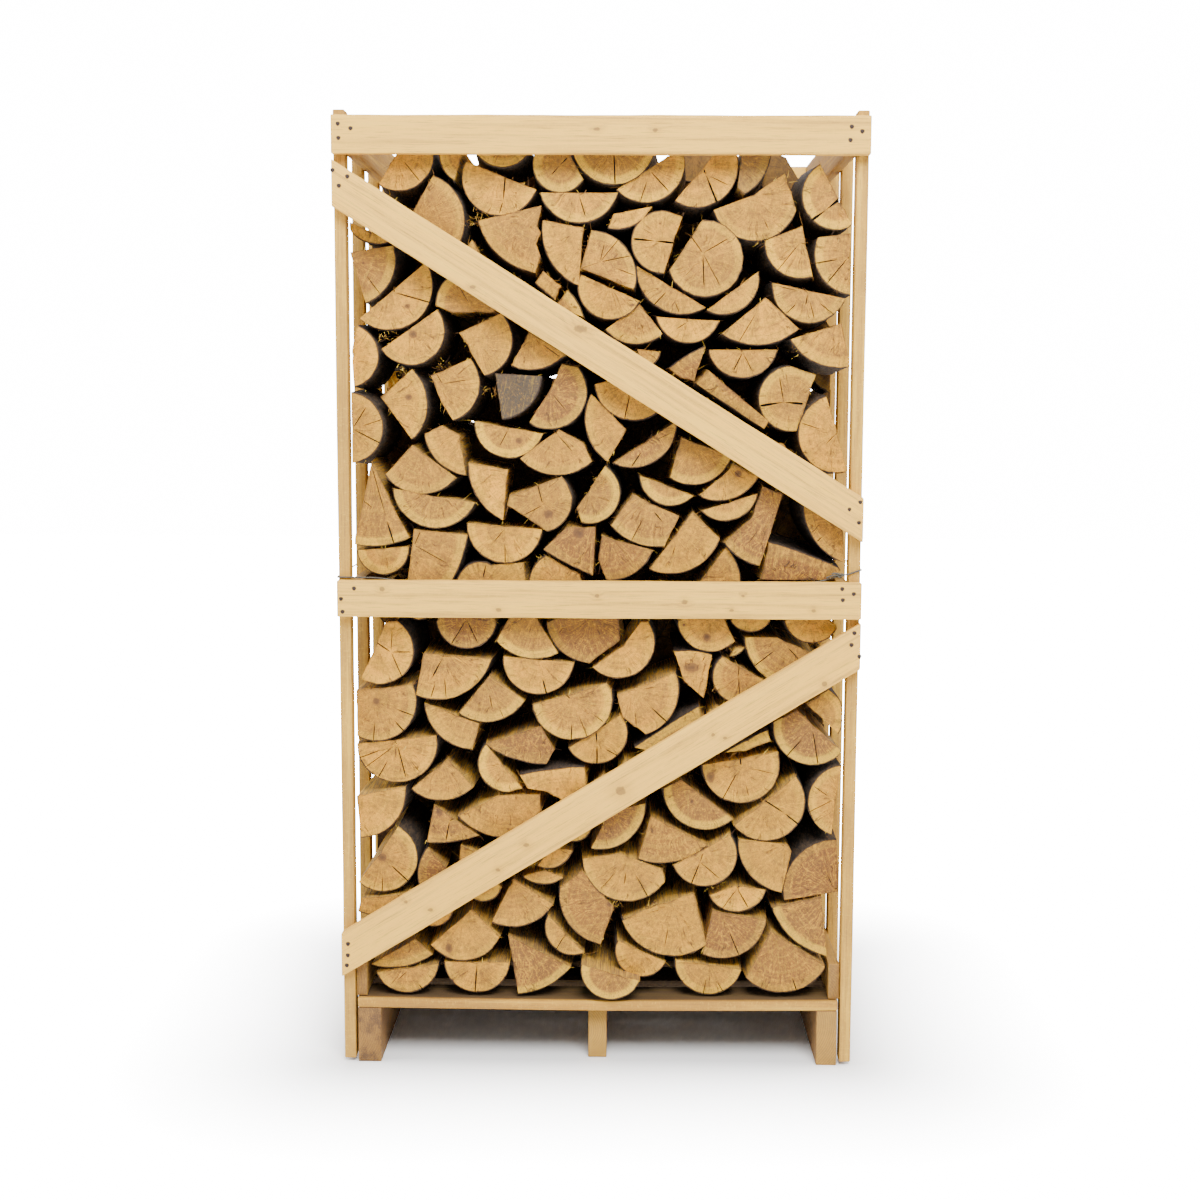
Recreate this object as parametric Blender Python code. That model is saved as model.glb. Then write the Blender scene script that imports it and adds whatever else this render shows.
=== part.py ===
# Timber crate of split oak firewood: a tall frame of rough boards on three skids,
# filled with three rows of short split logs whose cut ends face the front and the back.
# Metres, +X to the right, +Y to the back, +Z up. The origin is on the ground, under
# the middle of the crate.

import math

import bmesh
import bpy
import numpy as np
from mathutils import Matrix, Vector

# Driving dimensions
CRATE_WIDTH = 1.120         # over the outside of the corner posts
POST_DEPTH_SPAN = 0.800     # from the front of the front posts to the back of the back posts
POST_TOP = 2.060
POST_FOOT = 0.008           # the posts end just clear of the ground
POST_THICKNESS = 0.026
POST_FACE = 0.045
POSTS_A_SIDE = 4
BOARD_THICKNESS = 0.025
BOARD_HEIGHT = 0.080
TOP_RAIL_TOP = 2.0465
MIDDLE_RAIL_TOP = 1.0760
SKID_HEIGHT = 0.124
DECK_THICKNESS = 0.023
DECK_WIDTH = 1.059
DECK_BOARDS = 6
DECK_BOARD_FACE = 0.100
DECK_SAG = 0.004            # the floor dips by this much between the outer skids
DECK_BEND = 0.260           # how far out from the middle skid a floor board bends once more
SKID_WIDTH = {"left": 0.052, "middle": 0.042, "right": 0.047}
MIDDLE_SKID_SETBACK = 0.036
LOG_LENGTH = 0.245
LOG_ROW_PITCH = 0.2555
LOG_END_SPREAD = 0.009      # how unevenly the logs are pushed in
CORE_SETBACK = 0.038        # from the log ends back to the solid heart of a row
CORE_CLEARANCE = 0.004      # the same where a row stands against the next one
CORE_TOP = {"front": 1.750, "middle": 1.930, "back": 1.930}
LEAST_PUSH = -0.003         # no log end comes out of its row by more than this
MOST_PUSH = 0.002
ROW_GAP = 0.001             # kept free at the far end of a row
TWINE_DIAMETER = 0.0036
TOUCH_GAP = 0.0003          # left between pieces that bear on each other

SAME_PLACE = 0.00001        # corners nearer than this are one corner

# Derived places
FRONT = -POST_DEPTH_SPAN / 2
BACK = POST_DEPTH_SPAN / 2
POST_OUTER = CRATE_WIDTH / 2
POST_INNER = POST_OUTER - POST_THICKNESS
DECK_TOP = SKID_HEIGHT + TOUCH_GAP + DECK_THICKNESS
SIDE_RAIL_X = POST_INNER - TOUCH_GAP - BOARD_THICKNESS / 2

# Each brace: height of its top and bottom edge where it ends over the left post, and over the right
UPPER_BRACE = {"left": (1.9560, 1.8610), "right": (1.2590, 1.1600)}
LOWER_BRACE = {"left": (0.3010, 0.2010), "right": (0.9890, 0.8890)}

# The picture's view of the crate, from which the log outlines are laid on their real plane
PICTURE_MIDDLE = 600.0      # half of the picture's 1200 pixels
VIEW_FOCAL = 1762.2         # focal length in pixels
VIEW_DISTANCE = 3.7575      # from the eye to the front of the posts
VIEW_HEIGHT = 1.4713
VIEW_X = 0.0476
VIEW_PITCH = math.radians(6.645)
VIEW_YAW = math.radians(0.690)
VIEW_ROLL = math.radians(0.228)

# Log rows
LOG_SETBACK = 0.022         # from the front of the posts to the log ends
PULLED_OUT_SETBACK = -0.011
PULLED_OUT_LOG = (639, 983)
LOG_DRAWN_IN = 0.975
LOG_CLEARANCE = 0.0015
STRAIGHT = 1e-9             # an arc whose triangle is smaller than this is a straight line
LOG_ROOT = 0.020            # how deep a log end is rooted in the heart of its row
CORE_HALF_WIDTH = 0.490
WIDE_LOG = 0.085            # a bark arc wider than this is drawn with more segments
WIDE_SEGMENTS = {"front": 3, "none": 2, "back": 2}
NARROW_SEGMENTS = 2
ROW_SEEDS = {"logs_front_row": 3, "logs_middle_row": 5, "logs_back_row": 8}
SIDE_RAIL_SETBACK = 0.010
SIDE_RAIL_MARGIN = 0.010    # logs this near above or below a side rail keep clear of it
SIDE_RAIL_ROOM = 0.0016     # how much larger than a side rail its room in the logs is
TWINE_BEND = 0.92           # share of its distance that the string keeps round a corner
TWINE_TURN = 0.003          # where the string starts to turn, before a corner
KNOT_PLACE = (0.516, -0.4010, 1.0890)
KNOT_SIZE = (0.020, 0.009, 0.011)

# The log ends as the picture shows them, in its pixels: where the bark's arc starts, its
# middle and its end, then the corners of the split faces. The last ones are behind boards.
LOGS = [
    [(380, 184), (414, 187), (433, 150), (424, 132), (405, 140)],
    [(439, 150), (444, 171), (454, 180), (463, 150), (451, 134)],
    [(535, 189), (497, 215), (466, 161)],
    [(475, 150), (502, 167), (530, 150), (518, 128), (488, 130)],
    [(434, 176), (462, 205), (458, 245), (410, 218)],
    [(617, 193), (580, 223), (541, 193)],
    [(537, 150), (548, 189), (583, 179), (567, 150), (552, 136)],
    [(573, 150), (612, 184), (654, 150), (634, 130), (590, 130)],
    [(479, 221), (503, 258), (535, 272), (539, 207)],
    [(543, 221), (551, 262), (578, 285), (583, 228)],
    [(592, 231), (629, 252), (634, 289), (581, 268)],
    [(639, 301), (605, 319), (581, 275)],
    [(568, 290), (578, 302), (584, 317), (555, 306)],
    [(390, 241), (368, 243), (346, 222)],
    [(393, 246), (394, 270), (366, 302), (349, 252)],
    [(425, 263), (417, 319), (360, 318)],
    [(470, 270), (441, 286), (436, 305), (452, 312), (495, 312)],
    [(437, 310), (432, 357), (382, 349)],
    [(357, 326), (378, 352), (354, 386), (351, 352)],
    [(501, 314), (512, 345), (485, 375), (460, 333)],
    [(565, 355), (540, 369), (512, 366), (529, 333)],
    [(470, 359), (478, 393), (453, 420), (441, 402), (431, 376)],
    [(541, 377), (532, 403), (503, 419), (496, 374)],
    [(578, 368), (583, 408), (530, 422), (553, 385), (562, 364)],
    [(412, 370), (427, 405), (412, 439), (381, 397)],
    [(684, 156), (672, 192), (618, 189), (672, 154)],
    [(736, 152), (722, 198), (676, 200), (712, 157), (722, 140)],
    [(796, 210), (757, 240), (715, 210), (753, 195), (785, 174)],
    [(855, 223), (804, 206), (820, 165)],
    [(812, 276), (778, 270), (765, 241), (802, 226)],
    [(818, 238), (820, 275), (851, 294), (850, 234)],
    [(670, 212), (632, 240), (664, 272), (682, 217)],
    [(702, 221), (738, 276), (670, 270)],
    [(705, 307), (661, 309), (637, 266)],
    [(758, 272), (744, 308), (707, 310)],
    [(845, 299), (810, 323), (773, 283)],
    [(798, 329), (762, 345), (723, 334), (766, 298)],
    [(719, 321), (690, 343), (657, 317)],
    [(662, 334), (640, 344), (606, 330), (640, 304)],
    [(852, 366), (812, 361), (791, 340), (841, 324)],
    [(777, 350), (742, 378), (709, 350)],
    [(669, 368), (687, 355), (705, 346), (694, 381), (680, 377)],
    [(661, 352), (654, 364), (641, 370), (637, 349)],
    [(790, 366), (760, 393), (797, 430), (816, 375)],
    [(826, 397), (799, 440), (846, 471), (836, 428)],
    [(657, 412), (630, 420), (595, 385), (630, 376)],
    [(591, 395), (586, 430), (607, 461), (626, 430)],
    [(676, 422), (660, 458), (614, 463)],
    [(731, 457), (705, 483), (671, 478), (681, 438)],
    [(693, 496), (660, 504), (640, 476)],
    [(758, 477), (728, 500), (700, 496), (735, 465)],
    [(757, 494), (733, 520), (702, 511)],
    [(612, 526), (636, 543), (664, 546), (679, 517), (655, 506), (633, 495)],
    [(719, 539), (696, 567), (651, 569), (693, 513)],
    [(727, 548), (738, 566), (741, 588), (720, 596), (697, 588)],
    [(725, 543), (740, 557), (759, 565), (782, 495), (762, 488), (750, 520)],
    [(770, 543), (806, 554), (843, 570), (842, 579), (800, 580), (762, 579)],
    [(804, 507), (814, 540), (843, 562), (843, 530)],
    [(652, 551), (640, 569), (607, 580), (599, 560), (602, 537)],
    [(350, 393), (383, 425), (352, 462)],
    [(455, 478), (422, 494), (386, 475), (412, 446)],
    [(424, 434), (438, 462), (465, 475), (458, 434), (440, 426)],
    [(542, 434), (507, 458), (475, 422)],
    [(591, 462), (556, 475), (521, 459), (559, 430), (583, 444)],
    [(350, 543), (378, 546), (408, 538), (371, 464)],
    [(474, 503), (436, 528), (394, 489)],
    [(468, 464), (476, 496), (502, 520), (507, 470)],
    [(561, 477), (571, 505), (547, 531), (508, 505), (510, 496)],
    [(605, 467), (616, 508), (582, 523), (577, 509)],
    [(541, 530), (503, 563), (468, 524)],
    [(467, 536), (461, 560), (448, 588), (408, 588), (415, 530)],
    [(408, 547), (390, 574), (357, 551)],
    [(457, 588), (463, 570), (492, 564), (523, 563), (525, 588)],
    [(530, 590), (534, 567), (546, 556), (580, 574), (582, 590)],
    [(544, 550), (568, 564), (592, 575), (595, 528), (566, 528)],
    [(397, 622), (413, 655), (371, 682), (361, 678), (386, 622)],
    [(496, 622), (467, 648), (437, 622), (452, 600), (482, 600)],
    [(490, 660), (462, 694), (417, 695), (424, 654)],
    [(557, 653), (528, 658), (497, 641), (513, 612), (533, 614)],
    [(547, 624), (560, 650), (589, 663), (619, 641), (618, 618), (582, 610)],
    [(573, 663), (539, 694), (504, 657)],
    [(524, 701), (495, 721), (460, 713), (490, 676)],
    [(425, 704), (439, 735), (472, 749), (479, 724)],
    [(412, 686), (409, 724), (357, 736), (356, 691)],
    [(435, 737), (395, 783), (357, 745)],
    [(487, 745), (515, 760), (546, 764), (554, 751), (541, 727)],
    [(611, 691), (585, 737), (534, 705), (606, 684)],
    [(486, 745), (482, 778), (510, 792), (522, 789)],
    [(472, 788), (440, 801), (412, 790), (448, 760)],
    [(521, 775), (552, 769), (584, 767), (586, 784), (563, 800), (545, 791), (528, 788)],
    [(621, 715), (620, 753), (569, 748)],
    [(405, 788), (399, 816), (362, 837), (357, 796)],
    [(459, 817), (480, 832), (510, 838), (540, 812), (539, 796), (499, 796)],
    [(427, 843), (455, 842), (478, 836), (434, 806)],
    [(398, 828), (412, 876), (359, 882)],
    [(427, 848), (418, 868), (420, 888), (446, 868)],
    [(478, 854), (472, 868), (457, 876), (461, 845)],
    [(648, 622), (643, 668), (594, 667), (624, 645), (641, 622)],
    [(734, 641), (701, 650), (678, 622), (690, 606), (718, 606)],
    [(770, 621), (752, 632), (731, 621), (750, 604)],
    [(838, 625), (814, 643), (785, 622), (806, 606)],
    [(745, 638), (752, 662), (770, 680), (813, 655), (776, 638)],
    [(675, 652), (693, 651), (712, 655), (704, 698), (684, 681)],
    [(722, 657), (713, 680), (730, 701), (763, 680)],
    [(675, 674), (674, 710), (646, 734), (624, 718), (617, 696)],
    [(636, 747), (665, 727), (698, 707), (704, 720), (690, 740), (655, 752)],
    [(726, 752), (750, 738), (768, 730), (770, 741), (745, 751)],
    [(777, 753), (745, 803), (703, 766)],
    [(842, 751), (805, 764), (774, 723), (797, 711)],
    [(829, 690), (844, 712), (838, 733), (807, 704)],
    [(732, 820), (695, 829), (664, 790), (681, 781)],
    [(795, 777), (798, 823), (735, 825)],
    [(841, 766), (808, 800), (831, 834)],
    [(645, 804), (630, 838), (592, 848), (610, 812)],
    [(706, 846), (675, 862), (639, 859), (651, 817)],
    [(730, 835), (723, 880), (674, 865)],
    [(739, 840), (751, 876), (781, 892), (791, 852), (787, 845)],
    [(836, 841), (799, 856), (785, 900), (840, 892)],
    [(664, 882), (632, 901), (584, 860), (620, 854), (662, 870)],
    [(705, 945), (652, 952), (623, 921), (656, 907), (694, 895)],
    [(766, 891), (740, 913), (710, 897), (735, 887)],
    [(766, 922), (752, 948), (704, 955), (713, 912)],
    [(773, 909), (787, 934), (833, 957), (821, 898)],
    [(665, 963), (632, 976), (618, 942)],
    [(741, 972), (706, 996), (676, 962)],
    [(825, 966), (790, 991), (747, 978), (771, 932)],
    [(639, 983), (607, 1001), (582, 967)],
    [(357, 910), (385, 914), (407, 905), (409, 894), (362, 898)],
    [(552, 905), (520, 926), (493, 922), (514, 879)],
    [(563, 878), (543, 885), (523, 877), (545, 870)],
    [(573, 850), (564, 863), (538, 866), (552, 848)],
    [(560, 889), (572, 928), (600, 944), (613, 908), (582, 872)],
    [(548, 916), (549, 942), (584, 953)],
    [(570, 968), (556, 981), (519, 994), (509, 937)],
    [(509, 963), (476, 992), (445, 962)],
    [(499, 937), (467, 960), (432, 945), (472, 910)],
    [(432, 955), (405, 967), (372, 965), (415, 940)],
    [(438, 964), (408, 992), (377, 972)],
    [(608, 228), (628, 228), (642, 220), (652, 207), (614, 214)],
    [(697, 384), (730, 407), (763, 428), (768, 421), (709, 371)],
    [(535, 283), (545, 292), (555, 300), (561, 286), (543, 271)],
    [(730, 657), (738, 655), (745, 648), (735, 647)],
    [(771, 150), (757, 185), (745, 194), (738, 188), (742, 150)],
    [(362, 206), (386, 230), (405, 214), (390, 196)],
    [(404, 232), (420, 254), (446, 252), (408, 224)],
    [(462, 254), (474, 267), (486, 262), (472, 240)],
    [(492, 282), (508, 305), (530, 300), (522, 280), (506, 272)],
    [(548, 318), (566, 342), (586, 336), (582, 324)],
    [(584, 350), (604, 373), (622, 362), (604, 344)],
    [(654, 386), (662, 402), (682, 397), (672, 382)],
    [(690, 408), (704, 433), (726, 424), (708, 398)],
    [(752, 446), (774, 475), (796, 460), (784, 444), (764, 438)],
    [(808, 484), (822, 504), (842, 500), (836, 482)],
    [(366, 592), (380, 613), (398, 600), (384, 586)],
    [(404, 600), (418, 620), (434, 602), (420, 594)],
    [(486, 594), (502, 610), (514, 600), (503, 592)],
    [(536, 600), (550, 612), (568, 602), (552, 595)],
    [(596, 592), (610, 608), (632, 598), (614, 588)],
    [(644, 596), (662, 614), (682, 598), (662, 582)],
    [(760, 596), (777, 612), (796, 600), (778, 586)],
    [(808, 590), (820, 600), (832, 594), (820, 586)],
    [(362, 926), (374, 945), (394, 936), (384, 922)],
    [(414, 902), (430, 925), (453, 911), (444, 892), (424, 890)],
    [(464, 884), (480, 902), (501, 888), (490, 872), (472, 870)],
    [(496, 852), (508, 869), (528, 858), (512, 845)],
    [(558, 814), (570, 841), (592, 826), (584, 806), (568, 805)],
    [(593, 784), (600, 800), (614, 792), (604, 774)],
    [(618, 772), (634, 793), (657, 780), (650, 765), (624, 762)],
    [(674, 758), (683, 772), (696, 760), (688, 750)],
    [(708, 718), (722, 737), (743, 724), (735, 711), (716, 706)],
    [(754, 697), (766, 715), (784, 702), (772, 689)],
    [(792, 685), (799, 697), (812, 689), (802, 678)],
    [(812, 665), (825, 681), (840, 670), (830, 657)],
]


def clear_scene():
    for thing in list(bpy.data.objects):
        bpy.data.objects.remove(thing, do_unlink=True)


def collection(name):
    group = bpy.data.collections.new(name)
    bpy.context.scene.collection.children.link(group)
    return group


def material(name, colour, roughness):
    look = bpy.data.materials.new(name)
    look.use_nodes = True
    shader = look.node_tree.nodes["Principled BSDF"]
    shader.inputs["Base Color"].default_value = (*colour, 1.0)
    shader.inputs["Roughness"].default_value = roughness
    shader.inputs["Metallic"].default_value = 0.0
    return look


def add_piece(name, mesh, look, place=(0.0, 0.0, 0.0)):
    """Makes one named object of the crate from a mesh."""
    piece = bpy.data.objects.new(name, mesh)
    piece.location = place
    mesh.materials.clear()
    mesh.materials.append(look)
    PARTS.objects.link(piece)
    return piece


def box_mesh(name, size):
    shape = bmesh.new()
    bmesh.ops.create_cube(shape, size=1.0)
    bmesh.ops.scale(shape, vec=size, verts=shape.verts)
    mesh = bpy.data.meshes.new(name)
    shape.to_mesh(mesh)
    shape.free()
    return mesh


def add_board(name, low, high, look):
    """A straight board between two opposite corners."""
    low = Vector(low)
    high = Vector(high)
    return add_piece(name, box_mesh(name, high - low), look, (low + high) / 2)


def upright_slab(name, outline, thickness):
    """A flat outline in X and Z, stood upright, with its thickness along Y about y = 0."""
    curve = bpy.data.curves.new(name, "CURVE")
    curve.dimensions = "2D"
    curve.fill_mode = "BOTH"
    curve.extrude = thickness / 2
    spline = curve.splines.new("POLY")
    spline.points.add(len(outline) - 1)
    for point, (x, z) in zip(spline.points, outline):
        point.co = (x, z, 0.0, 1.0)
    spline.use_cyclic_u = True
    holder = bpy.data.objects.new(name + "_outline", curve)
    GUIDES.objects.link(holder)
    evaluated = holder.evaluated_get(bpy.context.evaluated_depsgraph_get())
    mesh = bpy.data.meshes.new_from_object(evaluated)
    bpy.data.objects.remove(holder, do_unlink=True)
    shape = bmesh.new()
    shape.from_mesh(mesh)
    bmesh.ops.remove_doubles(shape, verts=shape.verts, dist=SAME_PLACE)
    bmesh.ops.rotate(shape, matrix=Matrix.Rotation(math.pi / 2, 3, "X"), verts=shape.verts)
    bmesh.ops.recalc_face_normals(shape, faces=shape.faces)
    shape.to_mesh(mesh)
    shape.free()
    return mesh


def add_posts():
    """Upright boards at the sides, the outer two of each side being the corner posts."""
    spacing = (POST_DEPTH_SPAN - POST_FACE) / (POSTS_A_SIDE - 1)
    for side, direction in (("left", -1), ("right", 1)):
        for number in range(POSTS_A_SIDE):
            near = FRONT + number * spacing
            xs = sorted((direction * POST_INNER, direction * POST_OUTER))
            add_board(f"post_{side}_{number + 1}", (xs[0], near, POST_FOOT),
                      (xs[1], near + POST_FACE, POST_TOP), PINE)


def add_skids():
    outer = DECK_WIDTH / 2
    middle = SKID_WIDTH["middle"] / 2
    add_board("skid_left", (-outer, FRONT, 0.0),
              (-outer + SKID_WIDTH["left"], BACK, SKID_HEIGHT), SAWN_END)
    add_board("skid_right", (outer - SKID_WIDTH["right"], FRONT, 0.0),
              (outer, BACK, SKID_HEIGHT), SAWN_END)
    add_board("skid_middle", (-middle, FRONT + MIDDLE_SKID_SETBACK, 0.0),
              (middle, BACK - MIDDLE_SKID_SETBACK, SKID_HEIGHT - DECK_SAG), SAWN_END)


def add_deck():
    """Floor boards that dip a little between the outer skids."""
    pitch = (POST_DEPTH_SPAN - DECK_BOARD_FACE) / (DECK_BOARDS - 1)
    straight_end = DECK_WIDTH / 2 - max(SKID_WIDTH.values())
    middle_flat = SKID_WIDTH["middle"] / 2
    for number in range(DECK_BOARDS):
        mesh = box_mesh("deck", (DECK_WIDTH, DECK_BOARD_FACE, DECK_THICKNESS))
        shape = bmesh.new()
        shape.from_mesh(mesh)
        for x in (-straight_end, -DECK_BEND, -middle_flat, middle_flat, DECK_BEND, straight_end):
            faces = shape.verts[:] + shape.edges[:] + shape.faces[:]
            bmesh.ops.bisect_plane(shape, geom=faces, plane_co=(x, 0, 0), plane_no=(1, 0, 0))
        for vertex in shape.verts:
            reach = (straight_end - abs(vertex.co.x)) / (straight_end - middle_flat)
            vertex.co.z -= DECK_SAG * math.sin(math.pi / 2 * min(1.0, max(0.0, reach)))
        shape.to_mesh(mesh)
        shape.free()
        add_piece(f"deck_board_{number + 1}", mesh, PINE_DARK,
                  (0.0, FRONT + DECK_BOARD_FACE / 2 + number * pitch,
                   SKID_HEIGHT + TOUCH_GAP + DECK_THICKNESS / 2))


def side_rail_spans():
    """Bottom and top height of the boards that run from front to back inside the posts."""
    return {
        "bottom": (DECK_TOP + TOUCH_GAP, DECK_TOP + TOUCH_GAP + BOARD_HEIGHT),
        "middle": (MIDDLE_RAIL_TOP - BOARD_HEIGHT, MIDDLE_RAIL_TOP),
        "top": (TOP_RAIL_TOP - BOARD_HEIGHT, TOP_RAIL_TOP),
    }


def add_side_rails():
    for level, (low, high) in side_rail_spans().items():
        end = SIDE_RAIL_SETBACK if level == "bottom" else TOUCH_GAP
        for side, direction in (("left", -1), ("right", 1)):
            xs = sorted((direction * (SIDE_RAIL_X - BOARD_THICKNESS / 2),
                         direction * (SIDE_RAIL_X + BOARD_THICKNESS / 2)))
            add_board(f"side_rail_{side}_{level}", (xs[0], FRONT + end, low),
                      (xs[1], BACK - end, high), PINE)


def add_face_frame(face, direction):
    """The rails and braces nailed to the front or the back of the posts."""
    near = direction * (BACK + TOUCH_GAP)
    far = direction * (BACK + TOUCH_GAP + BOARD_THICKNESS)
    ys = sorted((near, far))
    for level, top in (("top", TOP_RAIL_TOP), ("middle", MIDDLE_RAIL_TOP)):
        add_board(f"{face}_rail_{level}", (-POST_OUTER, ys[0], top - BOARD_HEIGHT),
                  (POST_OUTER, ys[1], top), PINE)
    for level, ends in (("upper", UPPER_BRACE), ("lower", LOWER_BRACE)):
        outline = [
            (-POST_OUTER, ends["left"][0]), (-POST_OUTER, ends["left"][1]),
            (POST_OUTER, ends["right"][1]), (POST_OUTER, ends["right"][0]),
        ]
        mesh = upright_slab(f"{face}_brace_{level}", outline, BOARD_THICKNESS)
        add_piece(f"{face}_brace_{level}", mesh, PINE, (0.0, sum(ys) / 2, 0.0))


def union(target, other):
    """Joins another solid to the target for good, and removes the other."""
    step = target.modifiers.new("join", "BOOLEAN")
    step.operation = "UNION"
    step.solver = "EXACT"
    step.use_self = True
    step.object = other
    bake(target)
    bpy.data.objects.remove(other, do_unlink=True)


def cut(target, other):
    step = target.modifiers.new("cut", "BOOLEAN")
    step.operation = "DIFFERENCE"
    step.solver = "EXACT"
    step.object = other
    bake(target)
    bpy.data.objects.remove(other, do_unlink=True)


def bake(target):
    evaluated = target.evaluated_get(bpy.context.evaluated_depsgraph_get())
    mesh = bpy.data.meshes.new_from_object(evaluated)
    target.modifiers.clear()
    target.data = mesh


def add_twine():
    """A string tied round the corner posts, with a knot at the right front post."""
    off = TWINE_DIAMETER / 2 + TOUCH_GAP
    side = POST_OUTER + off
    bend = off * TWINE_BEND
    # The string's own points, from the right front corner to the left, round the back and home
    route = [
        (side, FRONT + TWINE_TURN, 1.1010),
        (POST_OUTER + bend, FRONT - bend, 1.1008),
        (POST_OUTER - TWINE_TURN, FRONT - off, 1.1005),
        (POST_INNER, FRONT - off, 1.0920),
        (KNOT_PLACE[0], FRONT - 0.0010, KNOT_PLACE[2]),
        (0.480, FRONT + 0.0035, 1.0770),
        (0.400, FRONT + 0.0045, 1.0640),
        (0.000, FRONT + 0.0045, 1.0520),
        (-0.380, FRONT + 0.0045, 1.0640),
        (-0.440, FRONT + 0.0040, 1.0740),
        (-0.480, FRONT + 0.0010, 1.0790),
        (-POST_INNER, FRONT - off, 1.0800),
        (-POST_OUTER + TWINE_TURN, FRONT - off, 1.0800),
        (-POST_OUTER - bend, FRONT - bend, 1.0802),
        (-side, FRONT + TWINE_TURN, 1.0805),
        (-side, BACK - TWINE_TURN, 1.0830),
        (-POST_OUTER - bend, BACK + bend, 1.0830),
        (-POST_OUTER + TWINE_TURN, BACK + off, 1.0830),
        (0.000, BACK + off, 1.0800),
        (POST_OUTER - TWINE_TURN, BACK + off, 1.0850),
        (POST_OUTER + bend, BACK + bend, 1.0852),
        (side, BACK - TWINE_TURN, 1.0855),
    ]
    curve = bpy.data.curves.new("twine", "CURVE")
    curve.dimensions = "3D"
    curve.bevel_depth = TWINE_DIAMETER / 2
    curve.bevel_resolution = 2
    spline = curve.splines.new("POLY")
    spline.points.add(len(route) - 1)
    for point, place in zip(spline.points, route):
        point.co = (*place, 1.0)
    spline.use_cyclic_u = True
    string = bpy.data.objects.new("twine_route", curve)
    GUIDES.objects.link(string)
    evaluated = string.evaluated_get(bpy.context.evaluated_depsgraph_get())
    mesh = bpy.data.meshes.new_from_object(evaluated)
    bpy.data.objects.remove(string, do_unlink=True)
    shape = bmesh.new()
    shape.from_mesh(mesh)
    bmesh.ops.remove_doubles(shape, verts=shape.verts, dist=SAME_PLACE)
    bmesh.ops.recalc_face_normals(shape, faces=shape.faces)
    shape.to_mesh(mesh)
    shape.free()
    twine = add_piece("twine", mesh, TWINE)

    knot_shape = bmesh.new()
    bmesh.ops.create_uvsphere(knot_shape, u_segments=10, v_segments=6, radius=0.5)
    bmesh.ops.scale(knot_shape, vec=KNOT_SIZE, verts=knot_shape.verts)
    knot_mesh = bpy.data.meshes.new("knot")
    knot_shape.to_mesh(knot_mesh)
    knot_shape.free()
    knot = bpy.data.objects.new("knot", knot_mesh)
    knot.location = KNOT_PLACE
    GUIDES.objects.link(knot)
    union(twine, knot)
    twine.data.materials.clear()
    twine.data.materials.append(TWINE)


def on_plane(pixel, setback):
    """Where a point of the picture lies on the upright plane that is this far behind the
    front of the posts. The eye's line is turned by the tilts of the view, then followed."""
    across = (pixel[0] - PICTURE_MIDDLE) / VIEW_FOCAL
    down = (pixel[1] - PICTURE_MIDDLE) / VIEW_FOCAL
    right = across * math.cos(VIEW_ROLL) + down * math.sin(VIEW_ROLL)
    up = across * math.sin(VIEW_ROLL) - down * math.cos(VIEW_ROLL)
    ahead = math.cos(VIEW_PITCH) + up * math.sin(VIEW_PITCH)
    rise = up * math.cos(VIEW_PITCH) - math.sin(VIEW_PITCH)
    line_x = right * math.cos(VIEW_YAW) - ahead * math.sin(VIEW_YAW)
    line_y = right * math.sin(VIEW_YAW) + ahead * math.cos(VIEW_YAW)
    steps = (VIEW_DISTANCE + setback) / line_y
    return VIEW_X + steps * line_x, VIEW_HEIGHT + steps * rise


def arc_points(start, middle, end, segments):
    """Points along the circle through three points, from the first to the last."""
    (ax, az), (bx, bz), (cx, cz) = start, middle, end
    turn = 2 * (ax * (bz - cz) + bx * (cz - az) + cx * (az - bz))
    if abs(turn) < STRAIGHT:
        return [start, middle, end]
    a2 = ax * ax + az * az
    b2 = bx * bx + bz * bz
    c2 = cx * cx + cz * cz
    x = (a2 * (bz - cz) + b2 * (cz - az) + c2 * (az - bz)) / turn
    z = (a2 * (cx - bx) + b2 * (ax - cx) + c2 * (bx - ax)) / turn
    radius = math.hypot(ax - x, az - z)
    first = math.atan2(az - z, ax - x)
    sweep = (math.atan2(cz - z, cx - x) - first) % math.tau
    passing = (math.atan2(bz - z, bx - x) - first) % math.tau
    if passing > sweep:
        sweep -= math.tau
    angles = [first + sweep * step / segments for step in range(segments + 1)]
    return [(x + radius * math.cos(angle), z + radius * math.sin(angle)) for angle in angles]


def log_outline(marks, setback, wide_segments):
    """A log's cut end in X and Z: the bark's arc, then the split corners, drawn in a
    little so that no two logs meet, and kept off the deck, the posts and the side rails."""
    points = [on_plane(pixel, setback) for pixel in marks]
    wide = math.dist(points[0], points[2]) > WIDE_LOG
    outline = arc_points(*points[:3], wide_segments if wide else NARROW_SEGMENTS) + points[3:]
    middle = np.mean(outline, axis=0)
    outline = [tuple(middle + (np.array(point) - middle) * LOG_DRAWN_IN) for point in outline]
    lift = max(0.0, DECK_TOP + LOG_CLEARANCE - min(z for x, z in outline))
    placed = []
    for x, z in outline:
        limit = POST_INNER - LOG_CLEARANCE
        for low, high in side_rail_spans().values():
            if low - SIDE_RAIL_MARGIN < z < high + SIDE_RAIL_MARGIN:
                limit -= BOARD_THICKNESS + TOUCH_GAP
        placed.append((max(-limit, min(limit, x)), z + lift))
    return placed


def log_solid(outline, near, far):
    """The mesh of one log from its cut end at y = near to its other end at y = far."""
    mesh = upright_slab("log", outline, far - near)
    mesh.transform(Matrix.Translation((0.0, (near + far) / 2, 0.0)))
    return mesh


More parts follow.
